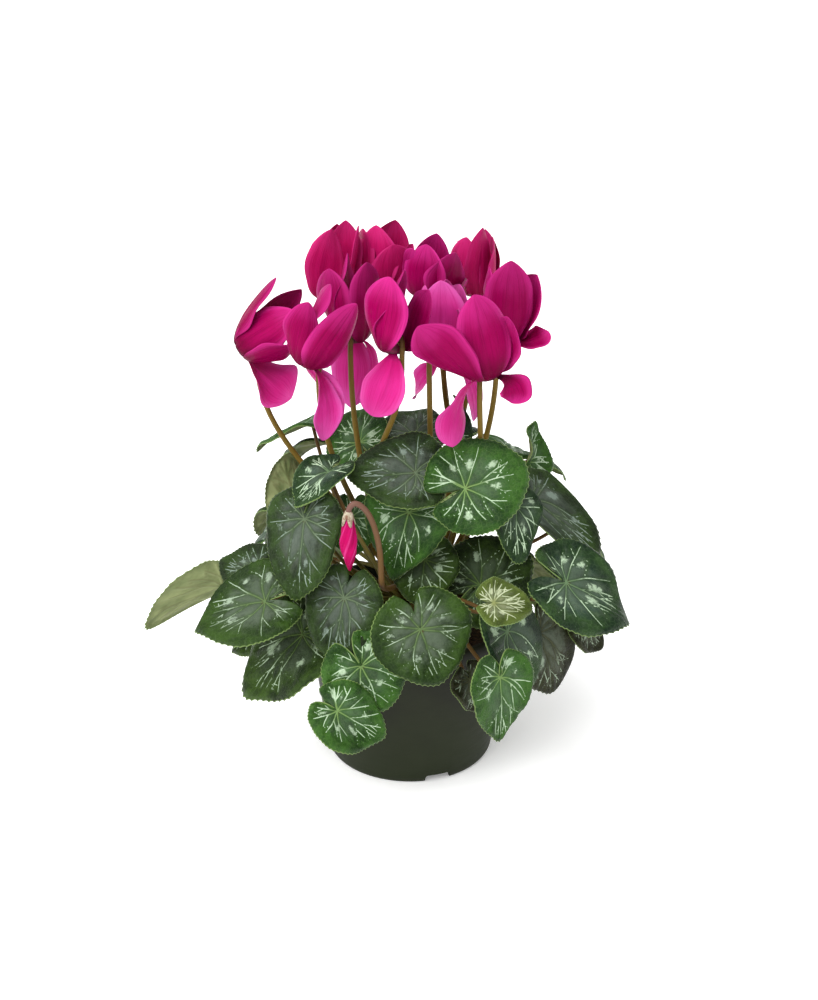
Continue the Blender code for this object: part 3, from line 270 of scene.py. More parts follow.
class Graph:
    """A material's node tree, with short calls that add and join nodes."""

    COLOURS_IN = (6, 7)
    COLOUR_OUT = 2
    VIEW_GREY = (0.3, 0.3, 0.3, 1.0)

    def __init__(self, name: str) -> None:
        """Start a material with its plain shader.

        Args:
            name: the material's name.
        """
        self.material = bpy.data.materials.new(name)
        self.material.use_nodes = True
        self.tree = self.material.node_tree
        self.shader = self.tree.nodes["Principled BSDF"]

    def put(self, value: Value, socket: Socket) -> None:
        """Join a socket to an input, or set the input to a constant.

        Args:
            value: an output socket, or a number or colour.
            socket: the input.
        """
        if isinstance(value, Socket):
            self.tree.links.new(value, socket)
        else:
            socket.default_value = value

    def node(self, kind: str, **settings: object) -> bpy.types.Node:
        """Add a node.

        Args:
            kind: the node's type.
            settings: its properties.

        Returns:
            The node.
        """
        made = self.tree.nodes.new(kind)
        for key, value in settings.items():
            setattr(made, key, value)
        return made

    def parts(self, vector: Socket) -> list[Socket]:
        """The x, y and z of a vector.

        Args:
            vector: the vector.

        Returns:
            Their sockets.
        """
        made = self.node("ShaderNodeSeparateXYZ")
        self.put(vector, made.inputs[0])
        return list(made.outputs)

    def attribute(self, name: str) -> list[Socket]:
        """The x, y and z of a vector attribute of the piece."""
        return self.parts(self.node("ShaderNodeAttribute", attribute_name=name).outputs["Vector"])

    def places(self) -> Socket:
        """Object coordinates."""
        return self.node("ShaderNodeTexCoord").outputs["Object"]

    def vector(self, *values: Value) -> Socket:
        """A vector from three values.

        Args:
            values: its x, y and z.

        Returns:
            The vector.
        """
        made = self.node("ShaderNodeCombineXYZ")
        for value, socket in zip(values, made.inputs):
            self.put(value, socket)
        return made.outputs[0]

    def math(self, operation: str, a: Value, b: Value = 0.0) -> Socket:
        """The result of a math node.

        Args:
            operation: what it does.
            a: its first value.
            b: its second value.

        Returns:
            The result.
        """
        made = self.node("ShaderNodeMath", operation=operation)
        self.put(a, made.inputs[0])
        self.put(b, made.inputs[1])
        return made.outputs[0]

    def shaken(self, value: Value, noise: Socket, amount: float) -> Socket:
        """A value moved up and down by a noise, over a span of the given amount."""
        return self.math("ADD", value, self.math("MULTIPLY", self.math("SUBTRACT", noise, 0.5), amount))

    def step(self, value: Value, low: float, high: float, top: float = 1.0) -> Socket:
        """Smooth rise of a value.

        Args:
            value: what is looked at.
            low: where the rise starts from 0.
            high: where it ends; it may be less than low.
            top: what it reaches.

        Returns:
            The risen value.
        """
        made = self.node("ShaderNodeMapRange", interpolation_type="SMOOTHSTEP")
        self.put(value, made.inputs["Value"])
        for name, number in (("From Min", low), ("From Max", high), ("To Max", top)):
            made.inputs[name].default_value = number
        return made.outputs["Result"]

    def noise(self, place: Socket, scale: float, detail: float = 3.0, rough: float = 0.55) -> Socket:
        """Noise between 0 and 1.

        Args:
            place: where it is read.
            scale: waves per unit of the place.
            detail: finer layers on top.
            rough: how strong those layers are.

        Returns:
            The noise.
        """
        made = self.node("ShaderNodeTexNoise")
        self.put(place, made.inputs["Vector"])
        for name, number in (("Scale", scale), ("Detail", detail), ("Roughness", rough)):
            made.inputs[name].default_value = number
        return made.outputs["Fac"]

    def net(self, place: Socket, scale: float) -> Socket:
        """Distance from the lines of an irregular net.

        Args:
            place: where it is read.
            scale: cells per unit of the place.

        Returns:
            The distance in cells.
        """
        made = self.node("ShaderNodeTexVoronoi", feature="DISTANCE_TO_EDGE")
        self.put(place, made.inputs["Vector"])
        made.inputs["Scale"].default_value = scale
        return made.outputs["Distance"]

    def mix(self, share: Value, first: Value, second: Value) -> Socket:
        """A colour between two colours.

        Args:
            share: 0 for the first, 1 for the second.
            first: the first colour.
            second: the second colour.

        Returns:
            The mixed colour.
        """
        made = self.node("ShaderNodeMix", data_type="RGBA")
        self.put(share, made.inputs[0])
        for value, index in zip((first, second), self.COLOURS_IN):
            self.put(value, made.inputs[index])
        return made.outputs[self.COLOUR_OUT]

    def bump(self, height: Socket, depth: float, strength: float) -> None:
        """Relief of the surface.

        Args:
            height: its height from 0 to 1.
            depth: its full height in metres.
            strength: how much of it shows.
        """
        made = self.node("ShaderNodeBump")
        made.inputs["Strength"].default_value = strength
        made.inputs["Distance"].default_value = depth
        self.put(height, made.inputs["Height"])
        self.put(made.outputs[0], self.shader.inputs["Normal"])

    def finish(self, colour: Value, roughness: Value, specular: float) -> Material:
        """Set the shader's main inputs.

        Args:
            colour: the base colour.
            roughness: from 0, polished, to 1, matt.
            specular: strength of the gloss.

        Returns:
            The material.
        """
        self.put(colour, self.shader.inputs["Base Color"])
        self.put(roughness, self.shader.inputs["Roughness"])
        self.shader.inputs["Specular IOR Level"].default_value = specular
        self.material.diffuse_color = self.VIEW_GREY
        return self.material


@dataclass(frozen=True)
class LeafFinish:
    """Colours of a blade, how strongly silver marks it, and how strong a painted sheen lies over its middle.
    """

    name: str
    outer: tuple
    inner: tuple
    dark: tuple
    silver: tuple
    vein: tuple
    marks: float
    # strength of the painted sheen: a pale silver wash over the middle that stands for soft gloss
    painted_sheen: float
    under: tuple = srgb(158, 168, 116)
    under_vein: tuple = srgb(108, 104, 66)
    margin: tuple = srgb(132, 158, 90)
    # Painted shade: brown where the blade meets its stalk, standing for the shade in the sinus.
    painted_sinus_shade: tuple = srgb(74, 54, 24)

    BROAD, MIDDLE, FINE = 1.7, 6.0, 18.0
    NET, FLECKS, TEETH = 13.0, 22.0, 60.0
    GLOSS = 0.1

    def pattern(self, graph: Graph) -> tuple[Socket, Socket, Socket, Socket]:
        """The blade's pattern places.

        Args:
            graph: the material's node tree.

        Returns:
            The share, angle and vein distance, and the flat place as a vector.
        """
        share, angle, vein = graph.attribute("polar")
        return share, angle, vein, graph.vector(*graph.attribute("flat"))

    def ground(self, graph: Graph, share: Socket, noises: Sequence[Socket]) -> Socket:
        """The blade's greens.

        Args:
            graph: the material's node tree.
            share: 0 at the attachment, 1 at the margin.
            noises: broad, middle and fine noise.

        Returns:
            The colour: the inner green, the outer one, and darker drifts.
        """
        broad, middle, fine = noises
        zone = graph.step(graph.shaken(share, middle, 0.5), 0.46, 0.78)
        colour = graph.mix(zone, self.inner, self.outer)
        colour = graph.mix(graph.step(broad, 0.40, 0.64, 0.85), colour, self.dark)
        colour = graph.mix(graph.step(middle, 0.44, 0.66, 0.45), colour, self.dark)
        return graph.mix(graph.step(fine, 0.46, 0.72, 0.35), colour, self.dark)

    def top(self) -> Material:
        """The upper face: green zones, a painted sheen over the middle, silver blots between the veins,
        flecks, painted shade at the attachment and a pale margin line.

        Returns:
            The material.
        """
        graph = Graph(f"leaf_{self.name}_top")
        share, angle, vein, place = self.pattern(graph)
        # The marks attribute holds the silver blots, the painted sheen's place and the vein distance.
        blot, painted_sheen_patch, _ = graph.attribute("marks")
        noises = (graph.noise(place, self.BROAD, 2.0), graph.noise(place, self.MIDDLE, 4.0, 0.6),
                  graph.noise(place, self.FINE, 4.0, 0.65))
        colour = self.ground(graph, share, noises)
        # Painted sheen: the silver colour washed over the middle of the blade stands for the soft gloss of
        # light on it.
        painted_sheen_share = graph.step(graph.shaken(painted_sheen_patch, noises[1], 1.9), 0.25, 1.0, self.painted_sheen)
        painted_sheen_share = graph.math("MULTIPLY", painted_sheen_share, graph.step(share, 0.97, 0.8))
        colour = graph.mix(painted_sheen_share, colour, self.silver)
        net = graph.net(place, self.NET)
        colour = graph.mix(graph.step(net, 0.10, 0.0, 0.13), colour, self.vein)
        colour = graph.mix(graph.step(vein, 1.9, 0.4, 0.5), colour, self.outer)
        ragged = graph.shaken(graph.shaken(blot, noises[1], 0.8), noises[2], 1.1)
        silver = graph.step(ragged, 0.74 - 0.2 * self.marks, 1.10 - 0.2 * self.marks, 0.8)
        colour = graph.mix(silver, colour, self.silver)
        flecks = graph.step(graph.noise(place, self.FLECKS, 2.0, 0.5), 0.74 - 0.02 * self.marks, 0.80)
        flecks = graph.math("MULTIPLY", flecks, graph.step(share, 0.3, 0.5, 0.6))
        colour = graph.mix(flecks, colour, self.silver)
        # Painted shade: darken to brown round the attachment, where the sinus lies in shade.
        colour = graph.mix(graph.step(share, 0.09, 0.03), colour, self.painted_sinus_shade)
        beads = graph.math("MULTIPLY", graph.math("SINE", graph.math("MULTIPLY", angle, self.TEETH)), 0.004)
        rim = graph.step(graph.math("ADD", share, beads), 0.980, 0.990, 0.8)
        colour = graph.mix(rim, colour, self.margin)
        rough = graph.math("ADD", graph.math("MULTIPLY", noises[2], 0.25), 0.30)
        grain = graph.math("ADD", graph.noise(place, 40.0), graph.noise(place, 11.0))
        graph.bump(graph.math("ADD", grain, graph.step(net, 0.0, 0.25, 0.3)), 0.9 * MM, 0.5)
        return graph.finish(colour, rough, self.GLOSS)

    def lower(self) -> Material:
        """The under face: paler, matt, with the veins faintly darker.

        Returns:
            The material.
        """
        graph = Graph(f"leaf_{self.name}_under")
        share, _, vein, place = self.pattern(graph)
        shade = graph.step(graph.noise(place, 3.0), 0.35, 0.7, 0.4)
        colour = graph.mix(shade, self.under, self.outer)
        colour = graph.mix(graph.step(vein, 1.0, 0.2, 0.35), colour, self.under_vein)
        colour = graph.mix(graph.step(share, 0.974, 0.986, 0.8), colour, self.margin)
        graph.bump(graph.noise(place, 30.0), 0.4 * MM, 0.3)
        return graph.finish(colour, 0.62, self.GLOSS)

    def veins(self) -> Material:
        """The veins: green at the attachment, pale and broken towards the margin.

        Returns:
            The material.
        """
        graph = Graph(f"leaf_{self.name}_vein")
        share, _, _, place = self.pattern(graph)
        start = 0.50 - 0.32 * self.marks
        pale = graph.mix(graph.step(share, start, start + 0.28), self.vein, self.silver)
        broken = graph.step(graph.noise(place, 5.0), 0.50, 0.62)
        gaps = graph.math("MULTIPLY", broken, graph.step(share, 0.1, 0.4, 1.0 - 0.4 * self.marks))
        return graph.finish(graph.mix(gaps, pale, self.outer), 0.5, 0.12)


# The silver colours also serve the painted sheen over the blade's middle.
SILVER = srgb(204, 230, 194)
ASHEN = srgb(176, 196, 170)

# For each tone: outer, inner and dark green, silver, vein, strength of the marks and of the painted sheen
LEAF_COLOURS = {
    BRIGHT: (srgb(62, 104, 36), srgb(66, 102, 56), srgb(22, 52, 14), SILVER, srgb(126, 158, 92), 1.0, 0.06),
    DARK: (srgb(60, 86, 28), srgb(58, 76, 46), srgb(16, 32, 8), SILVER, srgb(96, 122, 66), 0.7, 0.08),
    BLUE: (srgb(50, 78, 36), srgb(52, 72, 60), srgb(14, 36, 20), SILVER, srgb(108, 136, 96), 1.0, 0.1),
    GREY: (srgb(54, 82, 24), srgb(66, 79, 60), srgb(26, 46, 14), ASHEN, srgb(100, 124, 76), 0.7, 0.16),
    SLATE: (srgb(54, 78, 32), srgb(78, 86, 74), srgb(24, 36, 16), srgb(146, 164, 150),
            srgb(106, 124, 94), 0.5, 0.2),
    OLIVE: (srgb(94, 112, 46), srgb(120, 126, 84), srgb(56, 70, 22), srgb(214, 224, 184),
            srgb(150, 158, 98), 1.4, 0.2),
    DUSK: (srgb(54, 58, 30), srgb(62, 62, 46), srgb(24, 26, 12), ASHEN, srgb(84, 88, 60), 0.3, 0.2),
}
LEAF_FINISHES = {tone: LeafFinish(tone.value, *colours) for tone, colours in LEAF_COLOURS.items()}


@dataclass(frozen=True)
class PetalFinish:
    """Colours of a petal from its tip and margin to its base."""

    name: str
    edge: tuple
    middle: tuple
    inner: tuple
    base: tuple

    VEINS, LENGTHWISE = 11.0, 1.3
    SCATTER, SCATTER_COLOUR, SCATTER_DEPTH = 0.1, (1.0, 0.25, 0.5), 2 * MM

    def make(self) -> Material:
        """The velvety petal: a gradient along it, paler tip and margins that are partly its own colour and
        partly painted highlight, and fine lengthwise veins.

        Returns:
            The material.
        """
        graph = Graph(f"petal_{self.name}")
        across, along, seed = graph.attribute("petal")
        line = graph.shaken(along, graph.noise(graph.places(), 45.0, 2.0), 0.3)
        colour = graph.mix(graph.step(line, 0.02, 0.24), self.base, self.inner)
        colour = graph.mix(graph.step(line, 0.22, 0.62), colour, self.middle)
        # The pale edge colour at the tip is partly the petal's own colour and partly painted highlight.
        colour = graph.mix(graph.step(line, 0.70, 1.05, 0.75), colour, self.edge)
        side = graph.math("ABSOLUTE", across)
        # The pale band along the margins is partly the petal's own colour and partly painted highlight on the
        # rims.
        rim_and_painted_highlight = graph.math("MULTIPLY", graph.step(side, 0.60, 1.0, 0.8), graph.step(along, 0.12, 0.5))
        colour = graph.mix(rim_and_painted_highlight, colour, self.edge)
        fan = graph.vector(graph.math("MULTIPLY", across, self.VEINS),
                           graph.math("MULTIPLY", along, self.LENGTHWISE), seed)
        streak = graph.noise(fan, 1.6, 4.0, 0.6)
        colour = graph.mix(graph.step(streak, 0.44, 0.72, 0.5), colour, self.inner)
        own = graph.noise(graph.vector(seed, 0.5, 0.5), 1.3, 1.0)
        colour = graph.mix(graph.step(own, 0.42, 0.60, 0.4), colour, self.inner)
        graph.bump(streak, 0.8 * MM, 0.4)
        graph.shader.inputs["Subsurface Weight"].default_value = self.SCATTER
        graph.shader.inputs["Subsurface Radius"].default_value = self.SCATTER_COLOUR
        graph.shader.inputs["Subsurface Scale"].default_value = self.SCATTER_DEPTH
        return graph.finish(colour, 0.42, 0.03)


# For each tone: edge, partly painted highlight, middle, inner part and base
PETAL_COLOURS = {
    PetalTone.BRIGHT: (srgb(236, 56, 160), srgb(172, 4, 90), srgb(118, 0, 54), srgb(56, 0, 22)),
    PetalTone.CRIMSON: (srgb(236, 58, 144), srgb(214, 24, 110), srgb(160, 6, 72), srgb(70, 0, 28)),
    PetalTone.LILAC: (srgb(252, 112, 206), srgb(236, 56, 160), srgb(196, 22, 112), srgb(100, 2, 48)),
    # On the bud the edge colour is painted highlight along the ridges of its wound petals.
    PetalTone.BUD: (srgb(246, 84, 168), srgb(222, 22, 116), srgb(168, 4, 76), srgb(130, 2, 56)),
}
PETAL_FINISHES = {tone: PetalFinish(tone.value, *colours) for tone, colours in PETAL_COLOURS.items()}


@dataclass(frozen=True)
class MottledFinish:
    """Two colours broken up by noise, as on sepals, peat and cork."""

    name: str
    first: tuple
    second: tuple
    scale: float
    detail: float = 3.0
    coarseness: float = 0.55
    edges: tuple | None = (0.35, 0.65)
    relief: tuple | None = None
    roughness: float = 0.5
    gloss: float = 0.3

    def make(self) -> Material:
        """Mix the colours where the noise crosses its edges, or all along where it has none.

        Returns:
            The material.
        """
        graph = Graph(self.name)
        grain = graph.noise(graph.places(), self.scale, self.detail, self.coarseness)
        share = graph.step(grain, *self.edges) if self.edges else grain
        if self.relief:
            graph.bump(grain, *self.relief)
        return graph.finish(graph.mix(share, self.first, self.second), self.roughness, self.gloss)


# Detail, coarseness, edges, relief, roughness and gloss
FLUSHED = (4.0, 0.6, (0.4, 0.65), (0.5 * MM, 0.4), 0.6, 0.14)
CRUMBLY = (6.0, 0.7, (0.38, 0.64), (1.5 * MM, 0.8), 0.92, 0.2)

THROAT = MottledFinish("petal_throat", srgb(92, 0, 42), srgb(150, 8, 76), 260.0)
STYLE = MottledFinish(
    "petal_style", srgb(196, 150, 120), srgb(160, 60, 90), 400.0, 2.0, edges=None, gloss=0.4)
SEPALS = MottledFinish("stem_calyx", srgb(140, 112, 76), srgb(92, 46, 38), 320.0, *FLUSHED)
BUD_SEPALS = MottledFinish("stem_bud_calyx", srgb(206, 196, 172), srgb(140, 104, 84), 320.0, *FLUSHED)
PEAT = MottledFinish("soil_peat", srgb(38, 28, 20), srgb(84, 62, 42), 420.0, *CRUMBLY)
CORK = MottledFinish("tuber_cork", srgb(62, 44, 30), srgb(112, 84, 58), 260.0, *CRUMBLY)


@dataclass(frozen=True)
class StalkFinish:
    """A stalk that changes colour along its run, with fine streaks and a faint down."""

    name: str
    low: tuple
    high: tuple
    turn: float

    STREAKS, DOWN, DOWN_RELIEF = 6.0, 900.0, 1400.0

    def make(self) -> Material:
        """Turn from the low to the high colour, and streak and freckle with the high one.

        Returns:
            The material.
        """
        graph = Graph(self.name)
        along, round_, seed = graph.attribute("run")
        run = graph.vector(graph.math("MULTIPLY", along, self.STREAKS), round_, seed)
        streak = graph.noise(run, 3.0, 4.0)
        share = graph.shaken(along, streak, 0.25)
        colour = graph.mix(graph.step(share, self.turn - 0.25, self.turn + 0.2), self.low, self.high)
        down = graph.step(graph.noise(graph.places(), self.DOWN), 0.5, 0.8, 0.35)
        graph.bump(graph.noise(graph.places(), self.DOWN_RELIEF), 0.4 * MM, 0.4)
        return graph.finish(graph.mix(down, colour, self.high), 0.5, 0.14)


PETIOLES = StalkFinish("stem_petiole", srgb(116, 108, 46), srgb(112, 84, 44), 0.55)
PEDICELS = StalkFinish("stem_pedicel", srgb(130, 106, 40), srgb(78, 44, 26), 0.62)
BUD_STALK = StalkFinish("stem_bud", srgb(112, 82, 40), srgb(128, 92, 84), 0.75)


@dataclass(frozen=True)
class PotFinish:
    """Dark olive-grey plastic with a faint orange-peel grain, scuffs, and a greener, lighter tone towards the
    foot.
    """

    wall: tuple = srgb(39, 41, 30)
    foot: tuple = srgb(43, 50, 30)
    drift: tuple = srgb(48, 55, 35)
    scuff: tuple = srgb(62, 67, 49)
    foot_heights: tuple = (75 * MM, 4 * MM)
    scuff_stretch: tuple = (1.0, 1.0, 7.0)

    def make(self) -> Material:
        """Fade the wall into the foot, with drifts and level scuffs over both.

        Returns:
            The material.
        """
        graph = Graph("pot_plastic")
        place = graph.places()
        height = graph.step(graph.parts(place)[2], *self.foot_heights)
        colour = graph.mix(height, self.wall, self.foot)
        colour = graph.mix(graph.step(graph.noise(place, 18.0), 0.42, 0.66, 0.5), colour, self.drift)
        stretched = graph.node("ShaderNodeMapping")
        stretched.inputs["Scale"].default_value = self.scuff_stretch
        graph.put(place, stretched.inputs["Vector"])
        scuffs = graph.noise(stretched.outputs[0], 55.0, 5.0, 0.7)
        colour = graph.mix(graph.step(scuffs, 0.62, 0.78, 0.25), colour, self.scuff)
        rough = graph.math("ADD", graph.math("MULTIPLY", scuffs, 0.22), 0.42)
        graph.bump(graph.noise(place, 1500.0, 2.0), 0.3 * MM, 0.25)
        return graph.finish(colour, rough, 0.12)


def set_attribute(mesh: Mesh, name: str, *columns: Array) -> None:
    """Store a vector for each vertex of a mesh.

    Args:
        mesh: the mesh.
        name: the attribute's name.
        columns: its x, y and z, each with a value for each vertex.
    """
    layer = mesh.attributes.new(name, "FLOAT_VECTOR", "POINT")
    layer.data.foreach_set("vector", np.stack(columns, 1).astype(np.float32).ravel())


def coordinates(mesh: Mesh) -> Array:
    """Vertex places of a mesh.

    Args:
        mesh: the mesh.

    Returns:
        An (N, 3) array.
    """
    flat = np.empty(len(mesh.vertices) * 3, dtype=np.float64)
    mesh.vertices.foreach_get("co", flat)
    return flat.reshape(-1, 3)


def place_vertices(mesh: Mesh, places: Array) -> None:
    """Move a mesh's vertices to new places."""
    mesh.vertices.foreach_set("co", np.asarray(places, dtype=np.float64).ravel())
    mesh.update()


def array(vectors: Sequence[Vector]) -> Array:
    """Vectors as the rows of an array."""
    return np.array([tuple(vector) for vector in vectors])


def around(places: Array) -> tuple[Array, Array]:
    """Distance of places from the Z axis, and their angle about it."""
    return np.hypot(places[:, 0], places[:, 1]), np.arctan2(places[:, 1], places[:, 0])


def new_mesh(work: Work, name: str) -> Mesh:
    """Write a bmesh into a new mesh, and free it.

    Args:
        work: the bmesh.
        name: the mesh's name.

    Returns:
        The mesh.
    """
    mesh = bpy.data.meshes.new(name)
    work.to_mesh(mesh)
    work.free()
    return mesh


def new_object(name: str, data: bpy.types.ID) -> Item:
    """Put a new object in the scene.

    Args:
        name: its name.
        data: its mesh, curve, lamp or camera.

    Returns:
        The object.
    """
    item = bpy.data.objects.new(name, data)
    bpy.context.collection.objects.link(item)
    return item


def shaped_mesh(item: Item) -> Mesh:
    """An object's mesh with its curve bevel or modifiers worked out."""
    bpy.context.view_layer.update()
    return bpy.data.meshes.new_from_object(item.evaluated_get(bpy.context.evaluated_depsgraph_get()))


def polyline(work: Work, points: Sequence[tuple]) -> list:
    """Extrude one vertex along points.

    Args:
        work: the bmesh that gets them.
        points: places, the first vertex's too.

    Returns:
        The vertices and edges made.
    """
    made = bmesh.ops.create_vert(work, co=points[0])["vert"]
    geometry = list(made)
    last = made[0]
    for point in points[1:]:
        step = bmesh.ops.extrude_vert_indiv(work, verts=[last])
        last = step["verts"][0]
        last.co = Vector(point)
        geometry += step["edges"] + [last]
    return geometry


def turned(name: str, profile: Sequence[tuple], steps: int, unit: float = MM) -> Mesh:
    """Spin a profile about Z into a closed mesh.

    Args:
        name: the mesh's name.
        profile: points (radius, height) from the axis back to the axis.
        steps: pieces round the axis.
        unit: what the profile is measured in.

    Returns:
        The mesh, its faces outward.
    """
    work = bmesh.new()
    geometry = polyline(work, [(radius * unit, 0.0, height * unit) for radius, height in profile])
    bmesh.ops.spin(work, geom=geometry, cent=(0, 0, 0), axis=(0, 0, 1), angle=2 * math.pi, steps=steps,
                   use_merge=True)
    bmesh.ops.remove_doubles(work, verts=work.verts, dist=0.01 * MM)
    bmesh.ops.recalc_face_normals(work, faces=work.faces)
    return new_mesh(work, name)


def strands(name: str, paths: Sequence[list], sides: int) -> Mesh:
    """Closed round strands, made as one curve with a bevel.

    Args:
        name: the mesh's name.
        paths: for each strand a list of (point, radius) in metres.
        sides: sides of the round section, an even number.

    Returns:
        The mesh of all strands.
    """
    curve = bpy.data.curves.new(name, "CURVE")
    curve.dimensions = "3D"
    curve.bevel_depth = 1.0
    curve.bevel_resolution = (sides - 4) // 2
    curve.use_fill_caps = True
    for path in paths:
        spline = curve.splines.new("POLY")
        spline.points.add(len(path) - 1)
        for knot, (point, radius) in zip(spline.points, path):
            knot.co = (*point, 1.0)
            knot.radius = radius
    item = new_object(name, curve)
    mesh = shaped_mesh(item)
    bpy.data.objects.remove(item)
    bpy.data.curves.remove(curve)
    mesh.name = name
    mesh.materials.clear()
    return mesh


def nearest_values(mesh: Mesh, points: Sequence[tuple], values: Sequence[tuple]) -> Array:
    """For each vertex, the values of the nearest of some points.

    Args:
        mesh: the mesh.
        points: the points.
        values: a row of values for each point.

    Returns:
        A row for each vertex.
    """
    tree = kdtree.KDTree(len(points))
    for index, point in enumerate(points):
        tree.insert(point, index)
    tree.balance()
    return np.array([values[tree.find(vertex.co)[1]] for vertex in mesh.vertices])


def add_object(mesh: Mesh, *materials: Material) -> Item:
    """Put a mesh in the scene with its materials, shaded smooth.

    Args:
        mesh: the mesh.
        materials: its materials in order.

    Returns:
        The object.
    """
    mesh.shade_smooth()
    for material in materials:
        mesh.materials.append(material)
    return new_object(mesh.name, mesh)


def join(name: str, items: Sequence[Item]) -> Item:
    """Join objects into the first one and give it a name.

    Args:
        name: the piece's name.
        items: its parts.

    Returns:
        The piece.
    """
    with bpy.context.temp_override(active_object=items[0], selected_editable_objects=items,
                                   selected_objects=items):
        bpy.ops.object.join()
    return named(name, items[0])


def named(name: str, item: Item) -> Item:
    """Give an object and its mesh one name.

    Args:
        name: the name.
        item: the object.

    Returns:
        The object.
    """
    item.name = name
    item.data.name = name
    return item


def dress(item: Item, node: str) -> None:
    """Move a finished piece to the frame's place, and say what it stands for.

    Args:
        item: the piece.
        node: the frame's node that it replaces.
    """
    item.data.transform(Matrix.Translation(POT_PLACE))
    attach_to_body(item, "root")
    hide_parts(node)
    LOG.info("%s stands for %s: %d faces", item.name, node, len(item.data.polygons))


def surface_tree(item: Item) -> BVHTree:
    """A search tree of a frame node's surface."""
    mesh = item.data
    return BVHTree.FromPolygons([v.co for v in mesh.vertices], [tuple(p.vertices) for p in mesh.polygons])


def frame_shift(node: str, points: Sequence[Sequence[float]]) -> Vector:
    """How far the frame's node lies from a shape built at its planned place.

    Args:
        node: the frame's node.
        points: the outermost points of the planned shape.

    Returns:
        The way from the middle of the shape's box to the middle of the node's.
    """
    low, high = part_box(node)
    least = Vector(min(point[i] for point in points) for i in range(3))
    most = Vector(max(point[i] for point in points) for i in range(3))
    return (Vector(low) + Vector(high)) * 0.5 - POT_PLACE - (least + most) * 0.5


@dataclass
class LeafShape:
    """Outline rules of the flat leaf, as in the CAD, in half widths and radians."""

    taper: float = 0.16
    point: float = 0.10
    point_spread: float = 0.3
    sinus_depth: float = 0.80
    sinus_spread: float = 0.16
    sinus_least: float = 0.13
    length: float = 1.26
    softness: float = 0.12
    narrow_base: float = 0.25
    narrow_power: float = 1.2
    margin_angles: tuple = (0.0, 0.42, 0.95, 1.5, 2.05, 2.5, 2.78, 2.99)
    inner_angles: tuple = (0.0, 0.85, 1.75, 2.5)
    inner_share: float = 0.55

    def margin(self, angle: Array) -> Array:
        """Radius of the flat outline.

        Args:
            angle: from the tip, in radians.

        Returns:
            Radii in half widths.
        """
        back = math.pi - np.abs(angle)
        shape = 1 + self.taper * np.cos(angle) + self.point * np.exp(-(angle / self.point_spread) ** 2)
        sinus = self.sinus_depth * np.exp(-(back / self.sinus_spread) ** 2)
        return np.maximum(shape - sinus, self.sinus_least)

    def limit(self, angle: float) -> float:
        """Radius of the flat outline at one angle, which may be past half a turn."""
        wrapped = (angle + math.pi) % (2 * math.pi) - math.pi
        return float(self.margin(np.array([wrapped]))[0])

    def ring(self, angles: Sequence[float]) -> list[float]:
        """Angles of the right half and their mirror images, from the back round to the back."""
        return [-math.pi] + [-angle for angle in reversed(angles[1:])] + list(angles)


